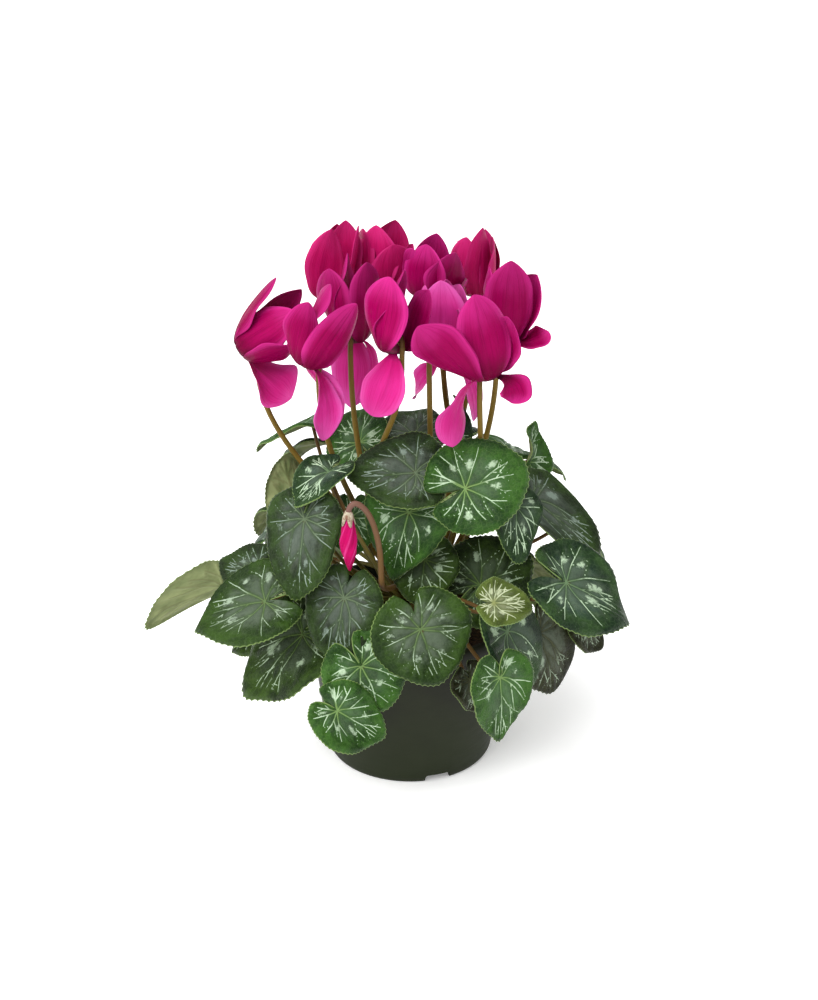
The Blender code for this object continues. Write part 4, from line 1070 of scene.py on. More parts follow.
@dataclass
class VeinNet:
    """A blade's veins on the flat leaf, in half widths and degrees: paths of (x, y, width in mm)."""

    rng: random.Random
    shape: LeafShape
    primaries: tuple = (0, 46, -46, 86, -86, 122, -122, 152, -152)
    primary_sway: float = 7.0
    reach: float = 0.84
    reach_spread: tuple = (0.88, 1.06)
    midrib_forks: tuple = ((0.34, 44), (0.42, -46), (0.62, 40), (0.72, -40))
    side_forks: tuple = ((0.42, 1), (0.66, -1))
    fork_counts: tuple = (1, 2, 2)
    fork_turn: tuple = (32, 50)
    fork_reach: tuple = (0.7, 1.05)
    fork_start: float = 1.04
    fork_width: float = 0.92
    least: float = 0.12
    width: float = 1.3
    thinning: float = 0.45
    step: float = 0.05
    bend: float = 0.7
    shake: float = 0.07
    margin_share: float = 0.93
    blot_turn: float = 0.05
    blot_out: tuple = (0.42, 0.62)
    blot_length: tuple = (0.12, 0.24)
    blot_breadth: tuple = (0.08, 0.15)
    blot_strength: tuple = (0.5, 1.1)

    def __post_init__(self) -> None:
        """Draw every vein."""
        self.paths = []
        self.headings = []
        for angle in self.primaries:
            heading = math.radians(angle + self.rng.uniform(-self.primary_sway, self.primary_sway))
            self.headings.append(heading)
            length = self.shape.limit(heading) * self.reach * self.rng.uniform(*self.reach_spread)
            self.run((0.0, 0.0), heading, length, self.width, 1, angle == 0)

    def run(self, start: tuple, heading: float, length: float, width: float, depth: int,
            midrib: bool = False) -> None:
        """Walk one vein out from a place, then its forks.

        Args:
            start: the flat place it leaves from.
            heading: its way in radians from the tip line.
            length: its length in half widths.
            width: its width in millimetres.
            depth: how many times its forks may fork.
            midrib: whether it is the middle vein, which stays straight.
        """
        x, y = start
        path, joints = [(x, y, width)], []
        count = max(3, round(length / self.step))
        bend = 0.0 if midrib else self.rng.uniform(-self.bend, self.bend)
        for index in range(1, count + 1):
            done = index / count
            heading += bend * length / count + self.rng.uniform(-self.shake, self.shake)
            x += math.cos(heading) * length / count
            y += math.sin(heading) * length / count
            if math.hypot(x, y) > self.margin_share * self.shape.limit(math.atan2(y, x)):
                break
            path.append((x, y, width * (1 - self.thinning * done ** 2)))
            joints.append((done, x, y, heading))
        self.paths.append(path)
        if joints and (midrib or depth > 0):
            self.fork(joints, length, width, depth, midrib)

    def fork(self, joints: list, length: float, width: float, depth: int, midrib: bool) -> None:
        """Let side veins leave a vein at some of its joints.

        Args:
            joints: for each joint the share done, x, y and heading.
            length: the vein's length in half widths.
            width: its width in millimetres.
            depth: how many times its forks may fork.
            midrib: whether it is the middle vein.
        """
        if midrib:
            turns = self.midrib_forks
        else:
            side = self.rng.choice((-1, 1))
            forks = self.side_forks[:self.rng.choice(self.fork_counts)]
            turns = [(share, side * sign * self.rng.uniform(*self.fork_turn)) for share, sign in forks]
        for share, turn in turns:
            done, x, y, heading = min(joints, key=lambda joint: abs(joint[0] - share))
            vigour = 1.0 if midrib else self.rng.uniform(*self.fork_reach)
            reach = length * (self.fork_start - done) * vigour
            if reach > self.least:
                left = 1 if midrib else depth - 1
                self.run((x, y), heading + math.radians(turn), reach, width * self.fork_width, left)

    def blots(self, x: Array, y: Array) -> Array:
        """How near places lie to the silver blots that fill the gaps between main veins.

        Args:
            x: flat places in half widths.
            y: flat places in half widths.

        Returns:
            1 at a blot's middle, falling to 0 outside it.
        """
        found = np.zeros(x.shape)
        headings = sorted(self.headings)
        for low, high in zip(headings, headings[1:]):
            angle = (low + high) * 0.5 + self.rng.uniform(-self.blot_turn, self.blot_turn)
            out = self.shape.limit(angle) * self.rng.uniform(*self.blot_out)
            length, breadth = self.rng.uniform(*self.blot_length), self.rng.uniform(*self.blot_breadth)
            along = (x * math.cos(angle) + y * math.sin(angle) - out) / length
            across = (y * math.cos(angle) - x * math.sin(angle)) / breadth
            strength = self.rng.uniform(*self.blot_strength)
            found = np.maximum(found, strength * np.exp(-(along ** 2 + across ** 2)))
        return found

    def distance(self, x: Array, y: Array) -> Array:
        """Distance of places from the nearest vein.

        Args:
            x: flat places in half widths.
            y: flat places in half widths.

        Returns:
            The distances in half widths.
        """
        best = np.full(x.shape, np.inf)
        for path in self.paths:
            for (x0, y0, _), (x1, y1, _) in zip(path, path[1:]):
                along_x, along_y = x1 - x0, y1 - y0
                share = ((x - x0) * along_x + (y - y0) * along_y) / (along_x ** 2 + along_y ** 2)
                share = np.clip(share, 0.0, 1.0)
                off_x, off_y = x - x0 - share * along_x, y - y0 - share * along_y
                best = np.minimum(best, off_x ** 2 + off_y ** 2)
        return np.sqrt(best)


class BladeTemplate:
    """The flat polar disc that every blade is shaped from, closed, with an upper and an under face."""

    SHARES = (0.0, 0.05, 0.11, 0.18, 0.26, 0.34, 0.42, 0.50, 0.58, 0.66, 0.74, 0.81, 0.87, 0.92, 0.955,
              0.98, 0.994)
    STEPS = 240

    def __init__(self) -> None:
        """Turn the disc, and give its two faces their materials' places."""
        profile = [(share, 1.0) for share in self.SHARES] + [(1.0, 0.0)]
        profile += [(share, -1.0) for share in reversed(self.SHARES)]
        self.mesh = turned("blade", profile, self.STEPS, 1.0)
        places = coordinates(self.mesh)
        self.share, self.angle = around(places)
        self.side = places[:, 2]
        for face in self.mesh.polygons:
            face.material_index = 0 if sum(self.side[i] for i in face.vertices) > 0 else 1


class Leaf:
    """One blade: a thin heart-shaped sheet bent as the CAD bends it, with its veins."""

    SHAPE = LeafShape()
    THICKNESS = 0.6 * MM
    EDGE = 0.9
    TEETH, TOOTH = 60, 0.024
    RIPPLES = ((0.008, 7, 1.0), (0.006, 13, 2.3))
    QUILT, QUILT_RAMP = 1.4 * MM, 3.2 * MM
    ROLL = 0.9 * MM
    RUMPLE, FRILL, FRILLS = 1.5 * MM, 0.3, 6
    VEIN_FLAT, VEIN_SINK = 0.4, 0.12
    # Middle and reach of the painted sheen over the blade, in half widths.
    PATCH_MIDDLE, PATCH_REACH = 0.1, 1.1

    def __init__(self, row: tuple, index: int) -> None:
        """Work out a blade's frame and bends.

        Args:
            row: its row of LEAVES.
            index: the row's number, which sets its random marks.
        """
        name, attach, tip, width, roll, self.narrow, bends, wave, self.tone = row
        self.name = f"leaf_{name}"
        self.index = index
        self.attach = vec(attach)
        self.half = width * 0.5 * MM
        line = vec(tip) - self.attach
        self.reach = line.length / (self.SHAPE.length * self.half)
        self.fold, self.left, self.right, self.droop = (math.radians(v) for v in bends)
        self.wave, self.waves, self.phase = wave
        outward = Vector((self.attach.x, self.attach.y, 0)).normalized()
        ahead = line.normalized()
        normal = outward + Vector((0, 0, 1.0))
        normal = (normal - ahead * normal.dot(ahead)).normalized()
        normal = Matrix.Rotation(math.radians(roll), 3, ahead) @ normal
        self.frame = Matrix((ahead, normal.cross(ahead), normal)).transposed()
        self.shift = Vector((0, 0, 0))
        self.shift = frame_shift(self.name, self.coarse())

    def coarse(self) -> Array:
        """The CAD sheet's own points.

        Returns:
            An (N, 3) array.
        """
        inner, outer = self.SHAPE.ring(self.SHAPE.inner_angles), self.SHAPE.ring(self.SHAPE.margin_angles)
        shares = np.array([0.0] + [self.SHAPE.inner_share] * len(inner) + [1.0] * len(outer))
        return self.place(shares, np.array([0.0] + inner + outer))

    def place(self, share: Array, angle: Array) -> Array:
        """World points of the middle sheet.

        Args:
            share: 0 at the attachment, 1 at the margin.
            angle: from the tip, in radians.

        Returns:
            An (N, 3) array about the pot's axis.
        """
        radius = self.SHAPE.margin(angle) * self.half * share
        x, y = radius * np.cos(angle), radius * np.sin(angle)
        ahead = np.maximum(x, 0.0) / (self.SHAPE.length * self.half)
        y = y * (1 + self.narrow * (self.SHAPE.narrow_base - ahead ** self.SHAPE.narrow_power))
        x = np.where(x > 0, x * (1 + (self.reach - 1) * np.minimum(x / (0.5 * self.half), 1.0)), x)
        curl = np.where(y > 0, self.left, self.right) / self.half
        bent = np.abs(y) * curl
        run, rise = np.sin(bent) / curl, (1 - np.cos(bent)) / curl
        softness = self.SHAPE.softness * self.half
        soft = np.sqrt(run * run + softness ** 2) - softness
        rise = rise + soft * math.sin(self.fold)
        run = run - soft * (1 - math.cos(self.fold))
        rise = rise + self.wave * self.half * share ** 2 * np.sin(self.waves * angle + self.phase)
        turn = self.droop / self.half
        sine, cosine = np.sin(x * turn), np.cos(x * turn)
        drooped = (sine / turn + rise * sine, np.copysign(run, y), (cosine - 1) / turn + rise * cosine)
        return np.stack(drooped, 1) @ np.array(self.frame).T + np.array(self.attach + self.shift)

    def normals(self, share: Array, angle: Array) -> Array:
        """Unit normals of the upper face.

        Args:
            share: 0 at the attachment, 1 at the margin.
            angle: from the tip, in radians.

        Returns:
            An (N, 3) array.
        """
        share = np.maximum(share, 0.04)
        out = self.place(share + 0.01, angle) - self.place(share - 0.01, angle)
        round_ = self.place(share, angle + 0.01) - self.place(share, angle - 0.01)
        normal = np.cross(out, round_)
        return normal / np.maximum(np.linalg.norm(normal, axis=1, keepdims=True), 1e-12)

    def flat(self, share: Array, angle: Array) -> tuple[Array, Array]:
        """Flat places in half widths."""
        radius = share * self.SHAPE.margin(angle)
        return radius * np.cos(angle), radius * np.sin(angle)

    def tag(self, mesh: Mesh, share: Array, angle: Array, vein: Array) -> None:
        """Store the pattern places on a mesh.

        Args:
            mesh: the blade's mesh or the veins'.
            share: 0 at the attachment, 1 at the margin.
            angle: from the tip, in radians.
            vein: distance from the nearest vein in millimetres.
        """
        seed = np.full(share.shape, self.index * 3.7)
        set_attribute(mesh, "polar", share, angle, vein)
        set_attribute(mesh, "flat", *self.flat(share, angle), seed)

    def rumple(self, x: Array, y: Array, share: Array) -> Array:
        """Broad soft swells of the blade that the plain solid leaves out.

        Args:
            x: flat places in half widths.
            y: flat places in half widths.
            share: 0 at the attachment, 1 at the margin.

        Returns:
            Heights over the middle sheet in metres.
        """
        turn = self.index * 1.9
        swell = np.sin(3.1 * x + 2.3 * y + turn) * np.sin(2.9 * y - 1.7 * x + 2 * turn)
        frill = self.FRILL * np.sin(self.FRILLS * np.arctan2(y, x) + turn) * smooth_step(0.55, 1.0, share)
        return self.RUMPLE * (swell + frill) * smooth_step(0.08, 0.4, share)

    def blade(self, template: BladeTemplate, net: VeinNet) -> Mesh:
        """The blade's two faces and its toothed margin.

        Args:
            template: the disc that it is shaped from.
            net: its veins.

        Returns:
            The mesh, with material 0 above and 1 below.
        """
        share, angle = template.share, template.angle
        x, y = self.flat(share, angle)
        vein = net.distance(x, y) * self.half
        near_edge = smooth_step(self.EDGE, 1.0, share)
        tooth = 0.5 - np.abs(np.sin(angle * self.TEETH * 0.5))
        ripple = sum(high * np.sin(angle * waves + turn * self.index) for high, waves, turn in self.RIPPLES)
        reach = share * (1 + self.TOOTH * tooth * near_edge + ripple * near_edge)
        ramp = smooth_step(0.0, self.QUILT_RAMP, vein) * smooth_step(0.05, 0.3, share)
        swell = self.QUILT * ramp * (1 - near_edge) - self.ROLL * near_edge ** 2
        lift = template.side * self.THICKNESS * 0.5 + swell + self.rumple(x, y, share)
        mesh = template.mesh.copy()
        mesh.name = self.name
        place_vertices(mesh, self.place(reach, angle) + self.normals(share, angle) * lift[:, None])
        self.tag(mesh, share, angle, vein / MM)
        # Where the painted sheen lies, stored with the blots and vein distances.
        painted_sheen_patch = smooth_step(0.9, 0.2, np.hypot(x - self.PATCH_MIDDLE, y) / self.PATCH_REACH)
        set_attribute(mesh, "marks", net.blots(x, y), painted_sheen_patch, vein)
        return mesh

    def veins(self, net: VeinNet) -> Mesh:
        """The veins as slim flattened strands, half sunk in the upper face.

        Args:
            net: the blade's veins.

        Returns:
            The mesh.
        """
        paths, centres, values = [], [], []
        for path in net.paths:
            x, y, width = (np.array(part) for part in zip(*path))
            angle = np.arctan2(y, x)
            share = np.maximum(np.hypot(x, y) / self.SHAPE.margin(angle), 0.002)
            radius = width * 0.5 * MM
            normal = self.normals(share, angle)
            lift = self.THICKNESS * 0.5 - radius * self.VEIN_SINK + self.rumple(x, y, share)
            place = self.place(share, angle) + normal * lift[:, None]
            paths.append([(tuple(p), r) for p, r in zip(place, radius)])
            centres += [tuple(p) for p in place]
            values += [(s, a, *n, *p) for s, a, n, p in zip(share, angle, normal, place)]
        mesh = strands(self.name + "_veins", paths, 4)
        found = nearest_values(mesh, centres, values)
        places, normal, centre = coordinates(mesh), found[:, 2:5], found[:, 5:8]
        height = np.sum((places - centre) * normal, axis=1, keepdims=True)
        place_vertices(mesh, places - normal * height * (1 - self.VEIN_FLAT))
        self.tag(mesh, found[:, 0], found[:, 1], np.zeros(len(found)))
        return mesh

    def build(self, template: BladeTemplate, finishes: dict) -> None:
        """Make the blade's piece.

        Args:
            template: the disc that it is shaped from.
            finishes: for each tone the upper, under and vein materials.
        """
        net = VeinNet(random.Random(SEED * 100 + self.index), self.SHAPE)
        top, under, vein = finishes[self.tone]
        parts = [add_object(self.blade(template, net), top, under), add_object(self.veins(net), vein)]
        dress(join(self.name + "_fine", parts), self.name)


class Bloom:
    """A nodding bloom: its tube, five swept-back petals and the style."""

    TUBE_HEIGHT = 7.0
    TUBE_MOUTH = 6.0
    TUBE_END = 4.4
    TUBE_PROFILE = (
        (0.0, 0.9), (2.4, 0.7), (4.0, 0.0), (5.0, -0.35), (5.8, 0.0), (6.1, 0.8), (5.9, 2.2), (5.6, 4.0),
        (5.1, 5.8), (TUBE_END, TUBE_HEIGHT), (0.0, TUBE_HEIGHT),
    )
    TUBE_RIBS, RIB_DEPTH = 5, 0.035
    STYLE_PLACES = ((0, 0, 1.5), (0.1, 0, 0.2), (0, 0, -0.9))
    STYLE_RADII = (0.5, 0.5, 0.4)
    HEADINGS = (54.0, 117.0, 180.0, 243.0, 306.0)
    STATIONS = (0.0, 0.13, 0.34, 0.60, 0.84, 1.0)
    ROOT_INSET, ROOT_HEIGHT = 0.9, 0.6
    REFLEX, DIP, BOW = 7.0, -2.0, 4.5
    TWIST_POWER = 1.3
    SWELL, RISE, FALL, CLAW, CUP = 2.09, 1.5, 0.75, 2.4, 0.24
    ROWS, COLUMNS = 30, 24
    ROW_POWER = 1.5
    THICKNESS, EDGE_THINNING = 0.6 * MM, 0.22
    SLIMNESS = 0.96
    CREASE, CREASE_WIDTH, CREASE_RUN = 0.07, 0.14, 1.15
    FLUTE, FLUTES = 0.018, 11
    FRILL, FRILLS = 0.03, 19
    WAVES = ((0.11, 8, 2, 1), (0.05, 16, 0, 3))
    HANGING = -20

    def __init__(self, row: tuple, index: int) -> None:
        """Work out a bloom's frame.

        Args:
            row: its row of BLOOMS.
            index: the row's number, which sets its waves.
        """
        name, mouth, lean, gap, self.petals, self.tone = row
        self.name = f"bloom_{name}"
        self.index = index
        self.mouth = vec(mouth)
        up = Vector((*lean, 1)).normalized()
        ahead = Vector((math.cos(math.radians(gap)), math.sin(math.radians(gap)), 0))
        ahead = (ahead - up * ahead.dot(up)).normalized()
        self.frame = Matrix((ahead, up.cross(ahead), up)).transposed()
        self.shift = Vector((0, 0, 0))
        self.shift = frame_shift(self.name, self.coarse())

    def world(self, x: float, y: float, z: float) -> Vector:
        """World point of a local place in millimetres; x points at the pedicel gap, z up the tube."""
        return self.mouth + self.shift + self.frame @ vec((x, y, z))

    def settle(self, mesh: Mesh, places: Array) -> None:
        """Move a mesh's vertices to places given about the mouth, along the bloom's own axes."""
        place_vertices(mesh, places @ np.array(self.frame).T + np.array(self.mouth + self.shift))

    def line(self, index: int, shares: Sequence[float]) -> list[tuple[Vector, Vector, Vector]]:
        """Centre line of a petal.

        Args:
            index: which petal, counted round from the gap.
            shares: shares of its length.

        Returns:
            For each share its place, its sideways way and its normal.
        """
        azimuth = math.radians(self.HEADINGS[index])
        out = Vector((math.cos(azimuth), math.sin(azimuth), 0))
        root = self.world(*(out * (self.TUBE_MOUTH - self.ROOT_INSET) + Vector((0, 0, self.ROOT_HEIGHT))))
        hand = self.world(*(out * (self.TUBE_MOUTH + self.REFLEX) + Vector((0, 0, self.DIP))))
        tip = self.mouth + self.shift + vec(self.petals[index][:3])
        late = hand.lerp(tip, 0.5) + self.frame @ (out * self.BOW * MM)
        places = cubic(root, hand, late, tip, shares)
        side = self.frame @ Vector((-out.y, out.x, 0))
        rows = []
        for i, share in enumerate(shares):
            way = (places[min(i + 1, len(places) - 1)] - places[max(i - 1, 0)]).normalized()
            side = (side - way * side.dot(way)).normalized()
            turn = math.radians(self.petals[index][4]) * share ** self.TWIST_POWER
            twisted = Matrix.Rotation(turn, 3, way) @ side
            rows.append((places[i], twisted, twisted.cross(way)))
        return rows

    def half(self, index: int, share: float) -> float:
        """Half width of a petal in metres at a share of its length."""
        broad = self.petals[index][3] * self.SWELL * share ** self.RISE * max(1 - share, 0.0) ** self.FALL
        return (broad + self.CLAW * (1 - share) ** 3) * MM

    def coarse(self) -> Points:
        """The CAD bloom's outermost points.

        Returns:
            The points.
        """
        points = [self.world(end, 0, self.TUBE_HEIGHT) for end in (self.TUBE_END, -self.TUBE_END)]
        for index in range(len(self.petals)):
            rows = self.line(index, self.STATIONS)
            points.append(rows[-1][0])
            for share, (place, side, normal) in zip(self.STATIONS[:-1], rows):
                half = self.half(index, share)
                drop = normal * (-self.CUP * half)
                points += [place + side * half * 0.97 + drop, place - side * half * 0.97 + drop]
        return points

    def relief(self, across: Array, along: Array, index: int) -> Array:
        """How far a petal's sheet lies off its centre line's level.

        Args:
            across: from -1 at one margin to 1 at the other.
            along: from 0 at the root to 1 at the tip.
            index: which petal.

        Returns:
            Heights in half widths: cup, waved margins, midline crease and flutes.
        """
        wave = sum(
            high * np.sin(along * waves + self.index * by_bloom + index * by_petal)
            for high, waves, by_bloom, by_petal in self.WAVES)
        crease = self.CREASE * np.exp(-(across / self.CREASE_WIDTH) ** 2)
        crease = crease * np.sin(math.pi * np.minimum(along * self.CREASE_RUN, 1.0))
        flute = self.FLUTE * np.sin(across * self.FLUTES + self.index + 2 * index) * along * np.abs(across)
        return -self.CUP * across ** 2 + wave * np.abs(across) ** 3 * np.sign(across) - crease + flute

    def petal(self, template: Mesh, index: int) -> Mesh:
        """One petal: a thin cupped sheet with soft waves along its margin.

        Args:
            template: the flat grid with two faces.
            index: which petal.

        Returns:
            The mesh.
        """
        grid = coordinates(template)
        across = grid[:, 0]
        row = np.rint((grid[:, 1] + 1) * 0.5 * self.ROWS).astype(int)
        face = np.where(grid[:, 2] > np.mean(grid[:, 2]), 1.0, -1.0)
        shares = 1 - (1 - np.array(spread(self.ROWS + 1))) ** self.ROW_POWER
        along = shares[row]
        places, sides, normals = (array(part)[row] for part in zip(*self.line(index, list(shares))))
        half = np.array([self.half(index, share) for share in shares])[row]
        frill = 1 + self.FRILL * np.sin(along * self.FRILLS + self.index + 3 * index) * along
        thick = self.THICKNESS * (0.5 - self.EDGE_THINNING * across ** 2) * face
        out = half * across * frill * self.SLIMNESS
        lift = self.relief(across, along, index) * half + thick
        mesh = template.copy()
        mesh.name = f"{self.name}_petal_{index}"
        place_vertices(mesh, places + sides * out[:, None] + normals * lift[:, None])
        set_attribute(mesh, "petal", across, along, np.full(across.shape, self.index * 5.3 + index * 1.7))
        work = bmesh.new()
        work.from_mesh(mesh)
        bmesh.ops.remove_doubles(work, verts=work.verts, dist=0.02 * MM)
        bmesh.ops.recalc_face_normals(work, faces=work.faces)
        work.to_mesh(mesh)
        work.free()
        return mesh

    def tube(self) -> Mesh:
        """The corolla tube with a rolled dark mouth.

        Returns:
            The mesh.
        """
        mesh = turned(self.name + "_tube", self.TUBE_PROFILE, 30)
        places = coordinates(mesh)
        _, angle = around(places)
        places[:, :2] *= (1 + self.RIB_DEPTH * np.cos(self.TUBE_RIBS * angle))[:, None]
        self.settle(mesh, places)
        set_attribute(mesh, "petal", *np.zeros((3, len(mesh.vertices))))
        return mesh

    def style(self) -> Mesh:
        """The thin style at the mouth.

        Returns:
            The mesh.
        """
        knots = zip(self.STYLE_PLACES, self.STYLE_RADII)
        path = [(self.world(*place), radius * MM) for place, radius in knots]
        return strands(self.name + "_style", [path], 8)

    def build(self, template: Mesh, finishes: dict, throat: Material, style: Material) -> None:
        """Make the bloom's piece.

        Args:
            template: the flat grid that petals are shaped from.
            finishes: the petal material of each tone.
            throat: the tube's material.
            style: the style's material.
        """
        parts = []
        for index, petal in enumerate(self.petals):
            tone = PetalTone.LILAC if petal[2] < self.HANGING else self.tone
            parts.append(add_object(self.petal(template, index), finishes[tone]))
        parts += [add_object(self.tube(), throat), add_object(self.style(), style)]
        dress(join(self.name + "_fine", parts), self.name)


def petal_template() -> Mesh:
    """A flat grid with two faces, across in x and along in y, from -1 to 1.

    Returns:
        The mesh.
    """
    work = bmesh.new()
    bmesh.ops.create_grid(work, x_segments=Bloom.COLUMNS, y_segments=Bloom.ROWS, size=1.0)
    bmesh.ops.solidify(work, geom=work.faces, thickness=0.1)
    bmesh.ops.recalc_face_normals(work, faces=work.faces)
    return new_mesh(work, "petal")


@dataclass
class Bud:
    """The closed bud, petals wound into a pointed spindle; millimetres."""

    top: tuple = (-39, -101, 244)
    tip: tuple = (-40, -104, 195)
    hook: tuple = ((20, 6, -62), (19, 4, -34), (13, 1, -10), (4, 0, 0), (-1, 0, -4), (-1.5, 0, -10))
    seat: tuple = (0.25, 0, -2.05)
    start_pull: tuple = (-1.0, 0, -15)
    tip_pull: tuple = (0, 0, 12)
    radii: tuple = (3.2, 5.0, 6.2, 5.5, 3.4, 0.8)
    rounding: int = 7
    folds: int = 5
    winding: float = 2.4
    depth: float = 0.17
    steps: int = 30
    sides: int = 40

    def shoulder(self) -> Vector:
        """Where the stalk's hook ends in the sepals."""
        return vec(self.top) + vec(self.hook[-1])

    def radius_rows(self, shares: Sequence[float]) -> Array:
        """Radii of the spindle, rounded over but for the tip.

        Args:
            shares: shares of the length.

        Returns:
            A radius in metres for each.
        """
        radii = np.interp(shares, spread(len(self.radii)), self.radii) * MM
        window = np.hanning(self.rounding) / np.hanning(self.rounding).sum()
        soft = np.convolve(np.pad(radii, self.rounding // 2, mode="edge"), window, "valid")
        soft[-1] = radii[-1]
        return soft

    def build(self, finish: Material) -> None:
        """Make the bud's piece.

        Args:
            finish: the bud's material.
        """
        start, tip = self.shoulder() + vec(self.seat), vec(self.tip)
        shares = spread(self.steps)
        line = array(cubic(start, start + vec(self.start_pull), tip + vec(self.tip_pull), tip, shares))
        profile = [(0.0, 1.0)] + [(1.0, 1.0 - share) for share in shares] + [(0.0, 0.0)]
        mesh = turned("bud", profile, self.sides, 1.0)
        places = coordinates(mesh)
        share = 1 - places[:, 2]
        row = np.rint(share * (self.steps - 1)).astype(int)
        out, angle = around(places)
        wound = 0.5 * self.folds * (angle + self.winding * share)
        radius = self.radius_rows(shares)[row] * (1 - self.depth * np.abs(np.cos(wound)) ** 4) * out
        middle = line[row]
        middle[:, 0] += radius * np.cos(angle)
        middle[:, 1] += radius * np.sin(angle)
        place_vertices(mesh, middle)
        # Painted highlight: the ridges of the wound petals get the pale edge colour, the grooves between them
        # stay darker.
        set_attribute(mesh, "petal", np.abs(np.sin(wound)) ** 4, 0.80 - 0.65 * share, share)
        dress(named("bud_fine", add_object(mesh, finish)), "bud")


class Stems:
    """Crown, leaf stalks, flower stalks and sepals, along the routes that the frame's stems take."""

    PETIOLE_START, PEDICEL_START = 114.5, 115.0
    PETIOLE_RING, PEDICEL_RING = 5, 3
    PETIOLE_SHARES = (0.0, 0.34, 0.66, 0.9, 1.0)
    PEDICEL_SHARES = (0.0, 0.25, 0.5, 0.75, 1.0)
    PETIOLE_RADII, PEDICEL_RADII, BUD_RADII = (1.7, 1.3), (2.1, 1.6), (2.1, 1.9)
    FITTED_PETIOLE, FITTED_PEDICEL, FITTED_HOOK = 1.1, 1.7, 1.4
    GAP = 0.35
    SEAT_START, SEAT_STEP, SEAT_RIM = 0.7, 0.1, 1.1
    UPRIGHT = 0.85
    LOBES = 2.5
    CALYX_PROFILE = (
        (0.0, 11.9), (1.3, 11.6), (2.8, 10.6), (4.0, 9.2), (4.7, 7.9), (5.2, 6.6), (4.9, 6.6), (4.5, 7.4),
        (0.0, 7.3),
    )
    BUD_CALYX_PROFILE = (
        (0.0, 3.4), (2.2, 3.0), (3.0, 1.4), (3.5, -0.6), (3.8, -2.0), (3.4, -1.9), (3.1, -1.4),
        (0.0, -1.5),
    )
    CROWN_PROFILE = (
        (0.0, 108.4), (9.0, 108.4), (10.8, 109.4), (11.5, 111.0), (11.4, 113.2), (10.6, 115.4),
        (8.8, 117.4), (6.0, 119.0), (3.0, 119.8), (0.0, 120.0),
    )

    def __init__(self, nodes: dict, leaves: Sequence[Leaf], blooms: Sequence[Bloom], bud: Bud) -> None:
        """Take what the stalks carry.

        Args:
            nodes: the frame's nodes by name.
            leaves: the blades.
            blooms: the blooms.
            bud: the bud.
        """
        self.nodes = nodes
        self.tree = surface_tree(nodes["stems"])
        self.leaves = leaves
        self.blooms = blooms
        self.bud = bud

    def misfit(self, points: Sequence[Vector], radius: float) -> float:
        """How badly a route's points sit on the middle line of the frame's stems.

        Args:
            points: the route.
            radius: the stem's usual radius in millimetres.

        Returns:
            0 for a route in the middle all along.
        """
        total = 0.0
        for start, end in zip(points, points[1:]):
            for part in (0.0, 0.5):
                hit = self.tree.find_nearest(start.lerp(end, part) + POT_PLACE)
                total += (hit[3] / MM - radius) ** 2
        return total / len(points)

    def best_route(self, name: str, routes: Sequence[tuple], shares: Sequence[float], radius: float,
                   count: int) -> Points:
        """The route that fits the frame's stems best.

        Args:
            name: what the stalk carries.
            routes: curves to choose from, each as its four control points.
            shares: where along them the fit is looked at.
            radius: the stem's usual radius in millimetres.
            count: how many points to return.

        Returns:
            Points along the best curve.
        """
        fits = [self.misfit(cubic(*hands, shares), radius) for hands in routes]
        LOG.info("%s stalk, misfit %.2f", name, min(fits))
        return cubic(*routes[fits.index(min(fits))], spread(count))

    def heading(self, end: Vector, height: float, ring: float) -> tuple[Vector, Vector, Vector]:
        """A stalk's start on the crown.

        Args:
            end: where it leads.
            height: the start's height in millimetres.
            ring: its distance from the axis in millimetres.

        Returns:
            The level way to its end, the way across that, and the start.
        """
        ahead = Vector((end.x, end.y, 0)).normalized()
        return ahead, Vector((-ahead.y, ahead.x, 0)), vec((0, 0, height)) + ahead * ring * MM

    def leaving(self, ahead: Vector, side: Vector, lift: float, swing: float) -> Vector:
        """The way in which a stalk leaves the crown, lifted by degrees and swung to the side."""
        lifted = math.radians(lift)
        return (ahead * math.cos(lifted) + Vector((0, 0, math.sin(lifted))) + side * swing).normalized()

    def seat(self, leaf: Leaf) -> Vector:
        """The petiole's end, far enough under its blade.

        Args:
            leaf: the blade.

        Returns:
            The place.
        """
        own = surface_tree(self.nodes[leaf.name])
        normal, across, along = leaf.frame.col[2], leaf.frame.col[0], leaf.frame.col[1]
        base = leaf.attach + leaf.shift
        end = base
        for step in range(30):
            end = base - normal * (self.SEAT_START + self.SEAT_STEP * step) * MM
            rim = [end] + [end + way * self.SEAT_RIM * MM for way in (across, along, -across, -along)]
            if min(own.find_nearest(point + POT_PLACE)[3] for point in rim) > self.GAP * MM:
                break
        return end

    def petiole(self, leaf: Leaf) -> Points:
        """Points of a leaf stalk, from the crown to the blade.

        Args:
            leaf: the blade.

        Returns:
            The points.
        """
        end = self.seat(leaf)
        ahead, side, start = self.heading(end, self.PETIOLE_START, self.PETIOLE_RING)
        span = (end - start).length
        routes = []
        for lift, hand, end_hand, rise, swing in product(
                (40, 55, 70, 25, 80), (0.45, 0.3, 0.65, 0.85), (0.28, 0.16, 0.42), (-0.25, 0.3, 0.8),
                (0, 0.25, -0.25, 0.5, -0.5)):
            way = self.leaving(ahead, side, lift, swing)
            tail = (Vector((0, 0, rise)) - leaf.frame.col[2] - side * swing * 0.3).normalized()
            routes.append((start, start + way * span * hand, end + tail * span * end_hand, end))
        return self.best_route(leaf.name, routes, self.PETIOLE_SHARES, self.FITTED_PETIOLE, 26)

